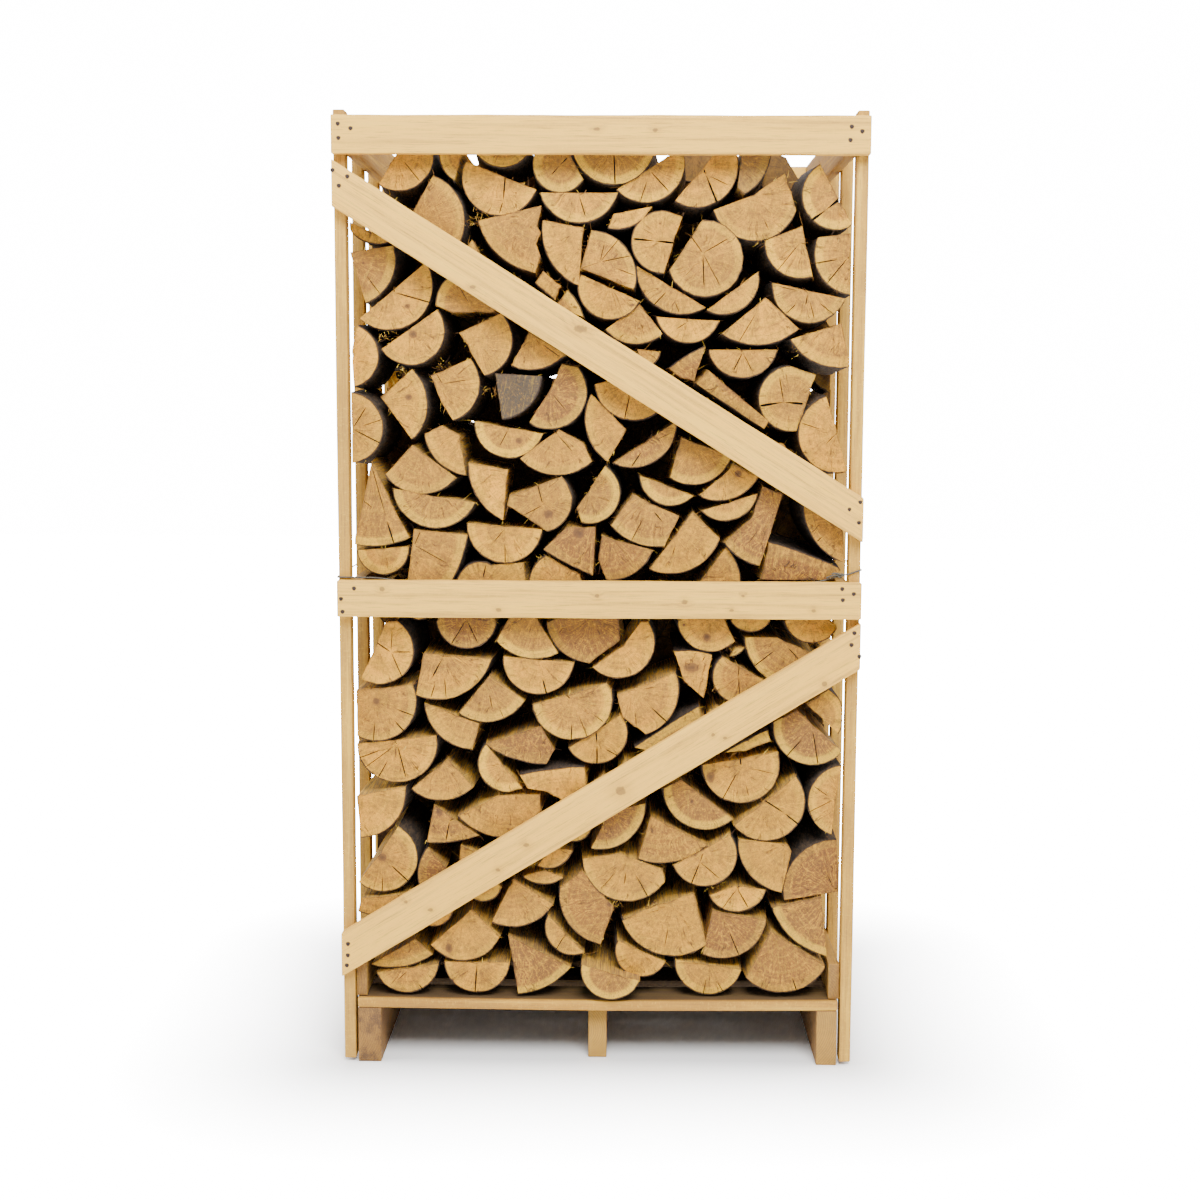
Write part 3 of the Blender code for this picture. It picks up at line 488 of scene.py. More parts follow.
# Each log end as the picture shows it: its tint, then in pixels where the arc of its bark
# starts, the arc's middle and its end, and the corners of its split faces.
LOGS = [
    ("t", (380, 184), (414, 187), (433, 150), (424, 132), (405, 140)),
    ("l", (439, 150), (444, 171), (454, 180), (463, 150), (451, 134)),
    ("l", (535, 189), (497, 215), (466, 161)),
    ("t", (475, 150), (502, 167), (530, 150), (518, 128), (488, 130)),
    ("t", (434, 176), (462, 205), (458, 245), (410, 218)),
    ("t", (617, 193), (580, 223), (541, 193)),
    ("t", (537, 150), (548, 189), (583, 179), (567, 150), (552, 136)),
    ("t", (573, 150), (612, 184), (654, 150), (634, 130), (590, 130)),
    ("t", (479, 221), (503, 258), (535, 272), (540, 256), (536, 244), (541, 233), (537, 226), (540, 214),
     (541, 206)),
    ("t", (543, 221), (551, 262), (578, 285), (583, 228)),
    ("t", (592, 231), (629, 252), (634, 289), (581, 268)),
    ("t", (639, 301), (605, 319), (581, 275)),
    ("t", (568, 290), (578, 302), (584, 317), (555, 306)),
    ("t", (390, 241), (368, 243), (346, 222)),
    ("o", (393, 246), (394, 270), (366, 302), (349, 252)),
    ("t", (425, 263), (417, 319), (360, 318)),
    ("t", (470, 270), (441, 286), (436, 305), (452, 312), (495, 312)),
    ("l", (437, 310), (432, 357), (382, 349)),
    ("l", (357, 326), (378, 352), (354, 386), (351, 352)),
    ("t", (501, 314), (512, 345), (485, 375), (460, 333)),
    ("t", (565, 355), (540, 369), (512, 366), (529, 333)),
    ("t", (470, 359), (478, 393), (453, 420), (441, 402), (431, 376)),
    ("g", (541, 377), (532, 403), (503, 419), (496, 374)),
    ("o", (578, 368), (583, 408), (530, 422), (553, 385), (562, 364)),
    ("t", (412, 370), (427, 405), (412, 439), (381, 397)),
    ("t", (684, 156), (672, 192), (618, 189), (672, 154)),
    ("t", (736, 152), (722, 198), (676, 200), (712, 157), (722, 140)),
    ("t", (796, 210), (757, 240), (715, 210), (753, 195), (785, 174)),
    ("l", (855, 223), (804, 206), (820, 165)),
    ("l", (812, 276), (778, 270), (765, 241), (802, 226)),
    ("t", (818, 238), (820, 275), (851, 294), (850, 234)),
    ("t", (670, 212), (632, 240), (664, 272), (682, 217)),
    ("t", (702, 221), (738, 276), (670, 270)),
    ("t", (705, 307), (661, 309), (637, 266)),
    ("t", (758, 272), (744, 308), (707, 310)),
    ("t", (845, 299), (810, 323), (773, 283)),
    ("t", (798, 329), (762, 345), (723, 334), (766, 298)),
    ("l", (719, 321), (690, 343), (657, 317)),
    ("t", (662, 334), (640, 344), (606, 330), (640, 304)),
    ("t", (852, 366), (812, 361), (791, 340), (841, 324)),
    ("t", (777, 350), (742, 378), (709, 350)),
    ("o", (669, 368), (687, 355), (705, 346), (694, 381), (680, 377)),
    ("t", (661, 352), (654, 364), (641, 370), (637, 349)),
    ("t", (790, 366), (760, 393), (797, 430), (816, 375)),
    ("t", (826, 397), (799, 440), (846, 471), (836, 428)),
    ("t", (657, 412), (630, 420), (595, 385), (630, 376)),
    ("t", (591, 395), (586, 430), (607, 461), (626, 430)),
    ("o", (676, 422), (660, 458), (614, 463)),
    ("t", (731, 457), (705, 483), (671, 478), (681, 438)),
    ("t", (693, 496), (660, 504), (640, 476)),
    ("t", (758, 477), (728, 500), (700, 496), (735, 465)),
    ("t", (757, 494), (733, 520), (702, 511)),
    ("t", (612, 526), (636, 543), (664, 546), (679, 517), (655, 506), (633, 495)),
    ("t", (719, 539), (696, 567), (651, 569), (693, 513)),
    ("t", (727, 548), (738, 566), (741, 588), (720, 596), (697, 588)),
    ("o", (725, 543), (740, 557), (759, 565), (782, 495), (762, 488), (750, 520)),
    ("o", (770, 543), (806, 554), (843, 570), (842, 579), (800, 580), (762, 579)),
    ("t", (804, 507), (814, 540), (843, 562), (843, 530)),
    ("o", (652, 551), (640, 569), (607, 580), (599, 560), (602, 537)),
    ("t", (350, 393), (383, 425), (352, 462)),
    ("t", (455, 478), (422, 494), (386, 475), (412, 446)),
    ("t", (424, 434), (438, 462), (465, 475), (458, 434), (440, 426)),
    ("l", (542, 434), (507, 458), (475, 422)),
    ("t", (591, 462), (556, 475), (521, 459), (559, 430), (583, 444)),
    ("t", (350, 543), (378, 546), (408, 538), (371, 464)),
    ("t", (474, 503), (436, 528), (394, 489)),
    ("l", (468, 464), (476, 496), (502, 520), (507, 470)),
    ("t", (561, 477), (571, 505), (547, 531), (508, 505), (510, 496)),
    ("t", (605, 467), (616, 508), (582, 523), (577, 509)),
    ("t", (541, 530), (503, 563), (468, 524)),
    ("t", (467, 536), (461, 560), (448, 588), (408, 588), (415, 530)),
    ("t", (408, 547), (390, 574), (357, 551)),
    ("t", (457, 588), (463, 570), (492, 564), (523, 563), (525, 588)),
    ("t", (530, 590), (534, 567), (546, 556), (580, 574), (582, 590)),
    ("o", (544, 550), (568, 564), (592, 575), (595, 528), (566, 528)),
    ("t", (397, 622), (413, 655), (371, 682), (361, 678), (386, 622)),
    ("o", (496, 622), (467, 648), (437, 622), (452, 600), (482, 600)),
    ("t", (490, 660), (462, 694), (417, 695), (424, 654)),
    ("t", (557, 653), (528, 658), (497, 641), (513, 612), (533, 614)),
    ("o", (547, 624), (560, 650), (589, 663), (619, 641), (618, 618), (582, 610)),
    ("t", (573, 663), (539, 694), (504, 657)),
    ("t", (524, 701), (495, 721), (460, 713), (490, 676)),
    ("t", (425, 704), (439, 735), (472, 749), (479, 724)),
    ("t", (412, 686), (409, 724), (357, 736), (356, 691)),
    ("t", (435, 737), (395, 783), (357, 745)),
    ("o", (487, 745), (515, 760), (546, 764), (554, 751), (541, 727)),
    ("l", (611, 691), (585, 737), (534, 705), (606, 684)),
    ("l", (486, 745), (482, 778), (510, 792), (522, 789)),
    ("t", (472, 788), (440, 801), (412, 790), (448, 760)),
    ("t", (521, 775), (552, 769), (584, 767), (586, 784), (563, 800), (545, 791), (528, 788)),
    ("t", (621, 715), (620, 753), (569, 748)),
    ("t", (405, 788), (399, 816), (362, 837), (357, 796)),
    ("t", (459, 817), (480, 832), (510, 838), (540, 812), (539, 796), (499, 796)),
    ("o", (427, 843), (455, 842), (478, 836), (434, 806)),
    ("t", (398, 828), (412, 876), (359, 882)),
    ("o", (427, 848), (418, 868), (420, 888), (446, 868)),
    ("t", (478, 854), (472, 868), (457, 876), (461, 845)),
    ("t", (648, 622), (643, 668), (594, 667), (624, 645), (641, 622)),
    ("t", (734, 641), (701, 650), (678, 622), (690, 606), (718, 606)),
    ("t", (770, 621), (752, 632), (731, 621), (750, 604)),
    ("t", (838, 625), (814, 643), (785, 622), (806, 606)),
    ("t", (745, 638), (752, 662), (770, 680), (813, 655), (776, 638)),
    ("l", (675, 652), (693, 651), (712, 655), (704, 698), (684, 681)),
    ("o", (722, 657), (713, 680), (730, 701), (763, 680)),
    ("t", (675, 674), (674, 710), (646, 734), (624, 718), (617, 696)),
    ("o", (636, 747), (665, 727), (698, 707), (704, 720), (690, 740), (655, 752)),
    ("t", (726, 752), (750, 738), (768, 730), (770, 741), (745, 751)),
    ("t", (777, 753), (745, 803), (703, 766)),
    ("o", (842, 751), (805, 764), (774, 723), (797, 711)),
    ("t", (829, 690), (844, 712), (838, 733), (807, 704)),
    ("o", (732, 820), (695, 829), (664, 790), (681, 781)),
    ("t", (795, 777), (798, 823), (735, 825)),
    ("t", (841, 766), (808, 800), (831, 834)),
    ("o", (645, 804), (630, 838), (592, 848), (610, 812)),
    ("o", (706, 846), (675, 862), (639, 859), (651, 817)),
    ("t", (730, 835), (723, 880), (674, 865)),
    ("t", (739, 840), (751, 876), (781, 892), (791, 852), (787, 845)),
    ("o", (836, 841), (799, 856), (785, 900), (840, 892)),
    ("t", (664, 882), (632, 901), (584, 860), (620, 854), (662, 870)),
    ("t", (705, 945), (652, 952), (623, 921), (656, 907), (694, 895)),
    ("t", (766, 891), (740, 913), (710, 897), (735, 887)),
    ("o", (766, 922), (752, 948), (704, 955), (713, 912)),
    ("o", (773, 909), (787, 934), (833, 957), (821, 898)),
    ("t", (665, 963), (632, 976), (618, 942)),
    ("t", (741, 972), (706, 996), (676, 962)),
    ("o", (825, 966), (790, 991), (747, 978), (771, 932)),
    ("t", (639, 983), (607, 1001), (582, 967)),
    ("t", (357, 910), (385, 914), (407, 905), (409, 894), (362, 898)),
    ("t", (552, 905), (520, 926), (493, 922), (514, 879)),
    ("t", (563, 878), (543, 885), (523, 877), (545, 870)),
    ("t", (573, 850), (564, 863), (538, 866), (552, 848)),
    ("o", (560, 889), (572, 928), (600, 944), (613, 908), (582, 872)),
    ("t", (548, 916), (549, 942), (584, 953)),
    ("o", (570, 968), (556, 981), (519, 994), (509, 937)),
    ("l", (509, 963), (476, 992), (445, 962)),
    ("t", (499, 937), (467, 960), (432, 945), (472, 910)),
    ("t", (432, 955), (405, 967), (372, 965), (415, 940)),
    ("t", (438, 964), (408, 992), (377, 972)),
    ("l", (608, 228), (628, 228), (642, 220), (652, 207), (614, 214)),
    ("o", (697, 384), (730, 407), (763, 428), (768, 421), (709, 371)),
    ("t", (535, 283), (545, 292), (555, 300), (561, 286), (543, 271)),
    ("o", (730, 657), (738, 655), (745, 648), (735, 647)),
    ("b", (771, 150), (757, 185), (745, 194), (738, 188), (742, 150)),
    ("t", (362, 206), (386, 230), (405, 214), (390, 196)),
    ("t", (404, 232), (420, 254), (446, 252), (408, 224)),
    ("t", (462, 254), (474, 267), (486, 262), (472, 240)),
    ("t", (492, 282), (508, 305), (530, 300), (522, 280), (506, 272)),
    ("t", (548, 318), (566, 342), (586, 336), (582, 324)),
    ("t", (584, 350), (604, 373), (622, 362), (604, 344)),
    ("t", (654, 386), (662, 402), (682, 397), (672, 382)),
    ("t", (690, 408), (704, 433), (726, 424), (708, 398)),
    ("t", (752, 446), (774, 475), (796, 460), (784, 444), (764, 438)),
    ("t", (808, 484), (822, 504), (842, 500), (836, 482)),
    ("t", (366, 592), (380, 613), (398, 600), (384, 586)),
    ("t", (404, 600), (418, 620), (434, 602), (420, 594)),
    ("t", (486, 594), (502, 610), (514, 600), (503, 592)),
    ("t", (536, 600), (550, 612), (568, 602), (552, 595)),
    ("t", (596, 592), (610, 608), (632, 598), (614, 588)),
    ("t", (644, 596), (662, 614), (682, 598), (662, 582)),
    ("t", (760, 596), (777, 612), (796, 600), (778, 586)),
    ("t", (808, 590), (820, 600), (832, 594), (820, 586)),
    ("t", (362, 926), (374, 945), (394, 936), (384, 922)),
    ("t", (414, 902), (430, 925), (453, 911), (444, 892), (424, 890)),
    ("t", (464, 884), (480, 902), (501, 888), (490, 872), (472, 870)),
    ("t", (496, 852), (508, 869), (528, 858), (512, 845)),
    ("t", (558, 814), (570, 841), (592, 826), (584, 806), (568, 805)),
    ("t", (593, 784), (600, 800), (614, 792), (604, 774)),
    ("t", (618, 772), (634, 793), (657, 780), (650, 765), (624, 762)),
    ("t", (674, 758), (683, 772), (696, 760), (688, 750)),
    ("t", (708, 718), (722, 737), (743, 724), (735, 711), (716, 706)),
    ("t", (754, 697), (766, 715), (784, 702), (772, 689)),
    ("t", (792, 685), (799, 697), (812, 689), (802, 678)),
    ("t", (812, 665), (825, 681), (840, 670), (830, 657)),
]
# Cracks in the sawn faces: both ends in pixels, and the width in tenths of a millimetre.
CRACKS = [
    (405, 163, 419, 180, 14), (505, 176, 500, 200, 26), (500, 200, 502, 213, 14), (492, 182, 480, 192, 10),
    (567, 158, 553, 173, 22), (584, 193, 585, 215, 18), (580, 209, 578, 222, 12), (366, 279, 381, 292, 12),
    (393, 284, 432, 303, 20), (459, 286, 450, 311, 24), (459, 286, 468, 302, 10), (545, 342, 557, 359, 12),
    (526, 340, 515, 358, 14), (613, 155, 616, 183, 22), (653, 170, 666, 192, 16), (645, 184, 642, 199, 14),
    (704, 170, 718, 205, 32), (712, 178, 728, 184, 10), (751, 224, 780, 219, 12), (841, 198, 811, 221, 46),
    (851, 258, 828, 282, 16), (816, 263, 836, 260, 16), (808, 245, 778, 270, 10), (634, 239, 674, 243, 32),
    (703, 253, 727, 239, 14), (703, 253, 691, 236, 12), (703, 253, 685, 243, 12), (703, 253, 704, 285, 18),
    (703, 253, 720, 285, 10), (582, 268, 604, 245, 10), (582, 268, 618, 240, 10), (582, 268, 630, 256, 12),
    (618, 272, 634, 272, 12), (617, 288, 613, 298, 10), (663, 290, 656, 308, 16), (677, 303, 678, 312, 12),
    (800, 286, 806, 304, 18), (797, 285, 780, 292, 10), (794, 303, 788, 315, 12), (813, 303, 812, 318, 12),
    (822, 303, 834, 316, 12), (745, 345, 750, 310, 10), (684, 313, 678, 328, 12), (650, 316, 630, 328, 10),
    (739, 348, 734, 370, 18), (741, 350, 752, 370, 12), (352, 429, 365, 409, 14), (352, 429, 382, 444, 18),
    (365, 424, 381, 421, 10), (372, 470, 393, 543, 26), (365, 493, 367, 514, 14), (463, 501, 462, 512, 12),
    (534, 484, 546, 503, 16), (541, 503, 526, 517, 14), (507, 426, 500, 445, 12), (556, 430, 571, 450, 12),
    (504, 520, 501, 531, 14), (501, 531, 495, 543, 10), (505, 546, 505, 562, 14), (420, 532, 444, 562, 12),
    (481, 566, 487, 579, 16), (555, 396, 563, 408, 12), (436, 374, 466, 380, 10), (629, 397, 625, 418, 16),
    (638, 453, 634, 467, 24), (655, 433, 672, 440, 10), (714, 440, 728, 462, 12), (761, 406, 803, 404, 40),
    (780, 379, 798, 400, 14), (803, 424, 818, 428, 12), (838, 432, 828, 442, 12), (816, 449, 808, 457, 10),
    (658, 508, 656, 523, 24), (643, 522, 631, 539, 12), (670, 544, 678, 556, 10), (741, 532, 768, 538, 12),
    (818, 530, 824, 546, 16), (376, 642, 391, 652, 20), (391, 652, 410, 652, 16), (391, 632, 392, 652, 10),
    (391, 655, 403, 676, 16), (443, 648, 433, 676, 24), (432, 684, 434, 697, 14), (443, 680, 448, 696, 12),
    (467, 620, 451, 643, 14), (467, 622, 478, 642, 12), (536, 680, 553, 692, 24), (565, 688, 569, 703, 20),
    (571, 726, 572, 740, 18), (580, 720, 588, 737, 10), (596, 715, 602, 722, 12), (400, 710, 411, 717, 20),
    (395, 724, 405, 732, 22), (372, 726, 375, 740, 14), (394, 742, 405, 777, 20), (376, 747, 359, 764, 12),
    (388, 745, 368, 772, 10), (384, 763, 378, 782, 16), (410, 762, 418, 771, 10), (490, 697, 492, 707, 12),
    (500, 710, 504, 718, 10), (596, 733, 597, 767, 24), (604, 728, 608, 738, 12), (608, 747, 617, 760, 18),
    (648, 680, 647, 697, 16), (656, 707, 665, 725, 22), (640, 714, 632, 726, 12), (681, 716, 689, 722, 16),
    (772, 652, 756, 666, 18), (781, 650, 803, 654, 16), (739, 666, 740, 700, 14), (699, 656, 708, 664, 20),
    (800, 740, 787, 757, 18), (818, 732, 813, 764, 16), (740, 755, 741, 765, 24), (737, 775, 722, 800, 14),
    (755, 767, 773, 777, 10), (745, 787, 750, 795, 10), (764, 800, 802, 827, 24), (765, 880, 760, 895, 10),
    (813, 790, 830, 793, 12), (808, 810, 833, 802, 10), (814, 809, 828, 820, 10), (454, 819, 446, 840, 18),
    (393, 866, 408, 884, 22), (382, 880, 382, 893, 14), (532, 889, 512, 899, 12), (566, 934, 556, 950, 14),
    (563, 950, 564, 961, 12), (573, 953, 577, 961, 16), (469, 962, 475, 992, 22), (406, 970, 400, 980, 10),
    (419, 985, 424, 990, 16), (703, 853, 700, 862, 20), (700, 862, 690, 887, 20), (701, 862, 718, 878, 12),
    (612, 872, 606, 888, 10), (627, 876, 623, 883, 18), (636, 880, 652, 900, 16), (741, 886, 748, 908, 18),
    (735, 890, 722, 914, 10), (733, 934, 736, 956, 18), (667, 930, 666, 945, 10), (651, 905, 662, 918, 10),
    (829, 878, 841, 889, 22), (823, 868, 829, 878, 10), (797, 940, 792, 950, 12), (792, 979, 797, 990, 18),
    (706, 982, 703, 997, 12), (721, 982, 721, 996, 12), (782, 845, 784, 864, 20), (765, 845, 767, 858, 10),
    (600, 990, 604, 1004, 10), (738, 745, 740, 755, 18),
]
# Where a sawn face fans out from, for logs whose cracks don't come from their heart.
FAN_MIDDLES = [
    (503, 200), (655, 241), (703, 253), (784, 402), (826, 210), (391, 652), (352.5, 429), (386, 520),
    (600, 262), (597, 745), (700, 862), (784, 813), (543, 505),
]
# Knots in the sawn faces: their place in pixels, their half width and half height in millimetres.
LOG_KNOTS = [
    (449, 948, 8, 11), (382, 858, 11, 10), (452, 981, 6, 6), (439, 812, 7, 12), (376, 702, 9, 9),
    (707, 637, 8, 8), (684, 625, 4, 4), (691, 668, 19, 11), (738, 474, 8, 8), (408, 397, 8, 7),
    (519, 441, 8, 7), (549, 514, 12, 11), (579, 533, 12, 12), (363, 263, 4, 3), (692, 802, 4, 5),
    (711, 778, 9, 14), (632, 305, 6, 3), (407, 306, 7, 6), (609, 904, 6, 8), (413, 334, 9, 8),
]
PULLED_OUT = (639, 983)
PULLED_OUT_SETBACK = -0.011
LOG_SETBACK = 0.022
LOG_LENGTH = 0.245
ROW_PITCH = 0.2555
FIRST_ROW = -0.378
END_SPREAD = 0.009          # how unevenly the logs are pushed in, and how far at the least and most
LEAST_PUSH = -0.003
MOST_PUSH = 0.002
ROW_GAP = 0.001
LOG_SPREAD = 1.05           # bark and edges reach a little past the outlines read in the picture
FLARE = 0.16                # how much thicker an outer log is at its hidden end
PACKED = 1.70               # logs inside the middle row are packed until they touch
PACKED_AT_SIDE = 1.20       # the same for logs that reach further out than this
SIDE_OF_PILE = 0.43
OPEN_COURSES = 1.80         # the courses above this height are open to view
DECK_TOP = 0.1473
POST_INNER = 0.534
RAIL_ROOM = 0.0253
RAIL_HEIGHTS = ((0.1476, 0.2276), (0.9960, 1.0760), (1.9665, 2.0465))
WALL_GAP = 0.0015
RAIL_MARGIN = 0.010
RAIL_SLOPE = 0.030
END_GIVE = 0.005
HIDDEN_GIVE = 0.030
WIDEST_RING = 0.17          # a flatter arc than this is taken as bark of a tree this thick


def on_plane(pixels, setback):
    """Where points of the picture lie on the upright plane that is this far behind the
    front of the posts. The eye's line is turned by the tilts of the view, then followed."""
    across, down = (np.array(pixels, float) - FRAME_PIXELS / 2).T / FOCAL_PIXELS
    lines = np.outer(across, eye_right) - np.outer(down, eye_up) + np.array(ahead)
    steps = (FRONT_OF_POSTS + setback - EYE.y) / lines[:, 1]
    return EYE.x + steps * lines[:, 0], EYE.z + steps * lines[:, 2]


def held_in(x, height, give):
    """X kept clear of the posts and the side rails: the room ends at the posts, and by a
    rail it narrows over a short slope. Within give of the wall, X nears the wall ever more
    slowly, by an exponential, so that a log pressed against it keeps its round."""
    wall = np.full(np.shape(height), POST_INNER - WALL_GAP)
    for low, high in RAIL_HEIGHTS:
        off = abs(height - (low + high) / 2) - (high - low) / 2
        wall = wall - RAIL_ROOM * np.clip((RAIL_SLOPE - off) / (RAIL_SLOPE - RAIL_MARGIN), 0, 1)
    free = wall - give
    over = np.maximum(abs(x) - free, 0.0)
    return np.sign(x) * (np.minimum(abs(x), free) + give * (1 - np.exp(-over / give)))


def log_outline(marks, setback, spread):
    """The corners of a log's end in X and Z, which of its edges are bark, and the heart and
    size of its rings. The bark is the circle through three marks, and the outline grows
    by the spread from its middle. Rings too wide to be a tree's are drawn closer in."""
    x, z = on_plane(marks, setback)
    points = np.stack([x, z], 1)
    points = points.mean(0) + (points - points.mean(0)) * spread
    (ax, az), (bx, bz), (cx, cz) = points[:3]
    turn = 2 * (ax * (bz - cz) + bx * (cz - az) + cx * (az - bz))
    squares = (points[:3] ** 2).sum(1)
    heart = np.array([squares @ (bz - cz, cz - az, az - bz), squares @ (cx - bx, ax - cx, bx - ax)]) / turn
    size = math.dist(points[0], heart)
    first = math.atan2(az - heart[1], ax - heart[0])
    sweep = (math.atan2(cz - heart[1], cx - heart[0]) - first) % math.tau
    if (math.atan2(bz - heart[1], bx - heart[0]) - first) % math.tau > sweep:
        sweep -= math.tau
    angles = first + sweep * np.linspace(0, 1, ARC_STEPS + 1)
    arc = heart + size * np.stack([np.cos(angles), np.sin(angles)], 1)
    ring = np.concatenate([arc, points[3:]])
    lift = max(0.0, DECK_TOP + WALL_GAP - ring[:, 1].min())
    ring = np.stack([held_in(ring[:, 0], ring[:, 1], END_GIVE), ring[:, 1] + lift], 1)
    is_bark = np.arange(len(ring)) < ARC_STEPS
    after = np.roll(ring, -1, 0)
    if (ring[:, 0] * after[:, 1] - ring[:, 1] * after[:, 0]).sum() < 0:
        ring, is_bark = ring[::-1], np.roll(is_bark[::-1], -1)
    if size > WIDEST_RING:
        heart = points[1] + (heart - points[1]) * WIDEST_RING / size
        size = WIDEST_RING
    return ring, is_bark, heart, size


def log_end(marks, setback, columns, spread, splits, middles):
    """A log's end as a fan of columns: its outline, which columns are bark, the heart and
    size of its rings, the point that it fans out from, and its cracks by column. Each
    crack takes three columns: its deepest line and its two lips. The columns stand evenly
    round the outline, with the nearest one moved to each sharp corner."""
    ring, is_bark, heart, size = log_outline(marks, setback, spread)
    inside = [spot for spot in middles if covers(ring, spot)]
    middle = np.array(inside[0]) if inside else fan_middle(ring, heart)
    corners = np.concatenate([ring, ring[:1]])
    reach = np.concatenate([[0.0], np.cumsum(np.hypot(*np.diff(corners, axis=0).T))])
    step = reach[-1] / columns
    stops = np.arange(columns) * step
    taken = np.zeros(columns, bool)
    opened = np.zeros((columns, 4))
    opened[:, 0] = np.arange(columns)
    for start, end, wide in (split for split in splits if covers(ring, (split[0] + split[1]) / 2)):
        arms = [(middle, start), (middle, end)] if (start - middle) @ (end - middle) < 0 else [(start, end)]
        for near, far in arms:
            toward = (far + near) / 2 - middle
            stop, edge = edge_along(ring, reach, middle, toward)
            column = int(round(stop / step)) % columns
            group = np.arange(column - 1, column + 2) % columns
            if taken[group].any():
                continue
            taken[group] = True
            stops[group] = (stop + np.array([-0.6, 0.0, 0.6]) * step) % reach[-1]
            away = sorted((math.dist(near, middle) / edge, math.dist(far, middle) / edge))
            opened[group] = (column, away[0] - 0.04, away[1] + 0.04, wide)
    sharp = reach[:-1][corner_places(ring)]
    for stop in sharp:
        gaps = abs(stops - stop) + taken * reach[-1]
        stops[np.argmin(gaps)] = stop
    order = np.argsort(stops)
    stops = stops[order]
    rank = np.argsort(order)
    opened = opened[order]
    opened[:, 0] = rank[opened[:, 0].astype(int)]
    outline = np.stack([np.interp(stops, reach, corners[:, 0]), np.interp(stops, reach, corners[:, 1])], 1)
    bark = is_bark[np.clip(np.searchsorted(reach, stops + 0.3 * step) - 1, 0, len(ring) - 1)]
    return outline, bark, heart, size, middle, opened


def covers(ring, spot):
    """Whether a closed outline has a point inside it: an odd number of its edges cross
    the line that runs from the point to the right."""
    after = np.roll(ring, -1, 0)
    rises = (ring[:, 1] > spot[1]) != (after[:, 1] > spot[1])
    slope = (after[:, 0] - ring[:, 0]) / np.where(rises, after[:, 1] - ring[:, 1], 1.0)
    return (rises & (spot[0] < ring[:, 0] + slope * (spot[1] - ring[:, 1]))).sum() % 2 == 1


def edge_along(ring, reach, spot, toward):
    """How far round an outline, and how far off, it is met from a point in a direction."""
    after = np.roll(ring, -1, 0)
    edge, out = after - ring, ring - spot
    cross = toward[0] * edge[:, 1] - toward[1] * edge[:, 0]
    cross = np.where(abs(cross) < 1e-12, 1e-12, cross)
    off = (out[:, 0] * edge[:, 1] - out[:, 1] * edge[:, 0]) / cross
    share = (out[:, 0] * toward[1] - out[:, 1] * toward[0]) / cross
    met = np.flatnonzero((off > 0) & (share >= 0) & (share <= 1))
    if len(met) == 0:
        return 0.0, math.dist(ring[0], spot)
    chosen = met[np.argmin(off[met])]
    length = math.hypot(*edge[chosen])
    return reach[chosen] + share[chosen] * length, off[chosen] * math.hypot(*toward)


def corner_places(ring):
    """Where an outline turns by more than a sixth of a right angle."""
    before, after = ring - np.roll(ring, 1, 0), np.roll(ring, -1, 0) - ring
    turn = np.arctan2(before[:, 0] * after[:, 1] - before[:, 1] * after[:, 0], (before * after).sum(1))
    return abs(turn) > 0.26


def fan_middle(outline, heart):
    """The point, on the way from the outline's middle to the heart of the rings, that is
    nearest to the heart and still sees every edge of the outline from inside."""
    middle = outline.mean(0)
    after = np.roll(outline, -1, 0)
    steps = np.hypot(*(after - outline).T)
    for share in np.linspace(0.95, 0, 20):
        spot = middle + (heart - middle) * share
        a, b = outline - spot, after - spot
        if (a[:, 0] * b[:, 1] - a[:, 1] * b[:, 0] > 0.005 * steps).all():
            return spot
    return middle


ARC_STEPS = 14
CAP_STEPS = {"fine": (0.10, 0.20, 0.30, 0.40, 0.50, 0.60, 0.69, 0.77, 0.84, 0.90, 0.945), "plain": (0.5, 0.9)}
SIDE_STEPS = {"fine": (0.0035, 0.012, 0.030, 0.060, 0.110, 0.180), "plain": (0.004, 0.12)}
EDGE_ROUND = 0.0012
CRACK_DEPTH = 0.010
CRACK_WIDE = 1.35           # cracks are this much wider than read, to show as they do in the picture
CRACK_OPENS = 0.12          # shares of the way out over which a crack opens, and closes again
CRACK_CLOSES = 0.10
CRACK_LEAST = 0.0001
SPLIT_RAGGED = 0.0007       # how uneven the edge of a sawn face is on its split sides
BARK_RAGGED = 0.0002
BARK_LUMP = 0.0020          # depths of the unevenness, in metres
SPLIT_RIDGE = 0.0016
HOLLOW = 0.0045
DISH = 0.0011
SAW_MARKS = 0.0003
TINT_SPREAD = (0.25, 0.12, 0.03)    # how much the logs of one tint differ


def ripple(where, waves, chance, count):
    """Slow unevenness from -1 to 1, a different one for each log: the mean of some sine
    waves of the place, each wave with its own direction and phase."""
    direction = chance.normal(0, 1, (count, 1, 1, waves, 3))
    phase = chance.uniform(0, math.tau, (count, 1, 1, waves))
    return np.sin((where[..., None, :] * direction).sum(-1) + phase).mean(-1) * 1.6


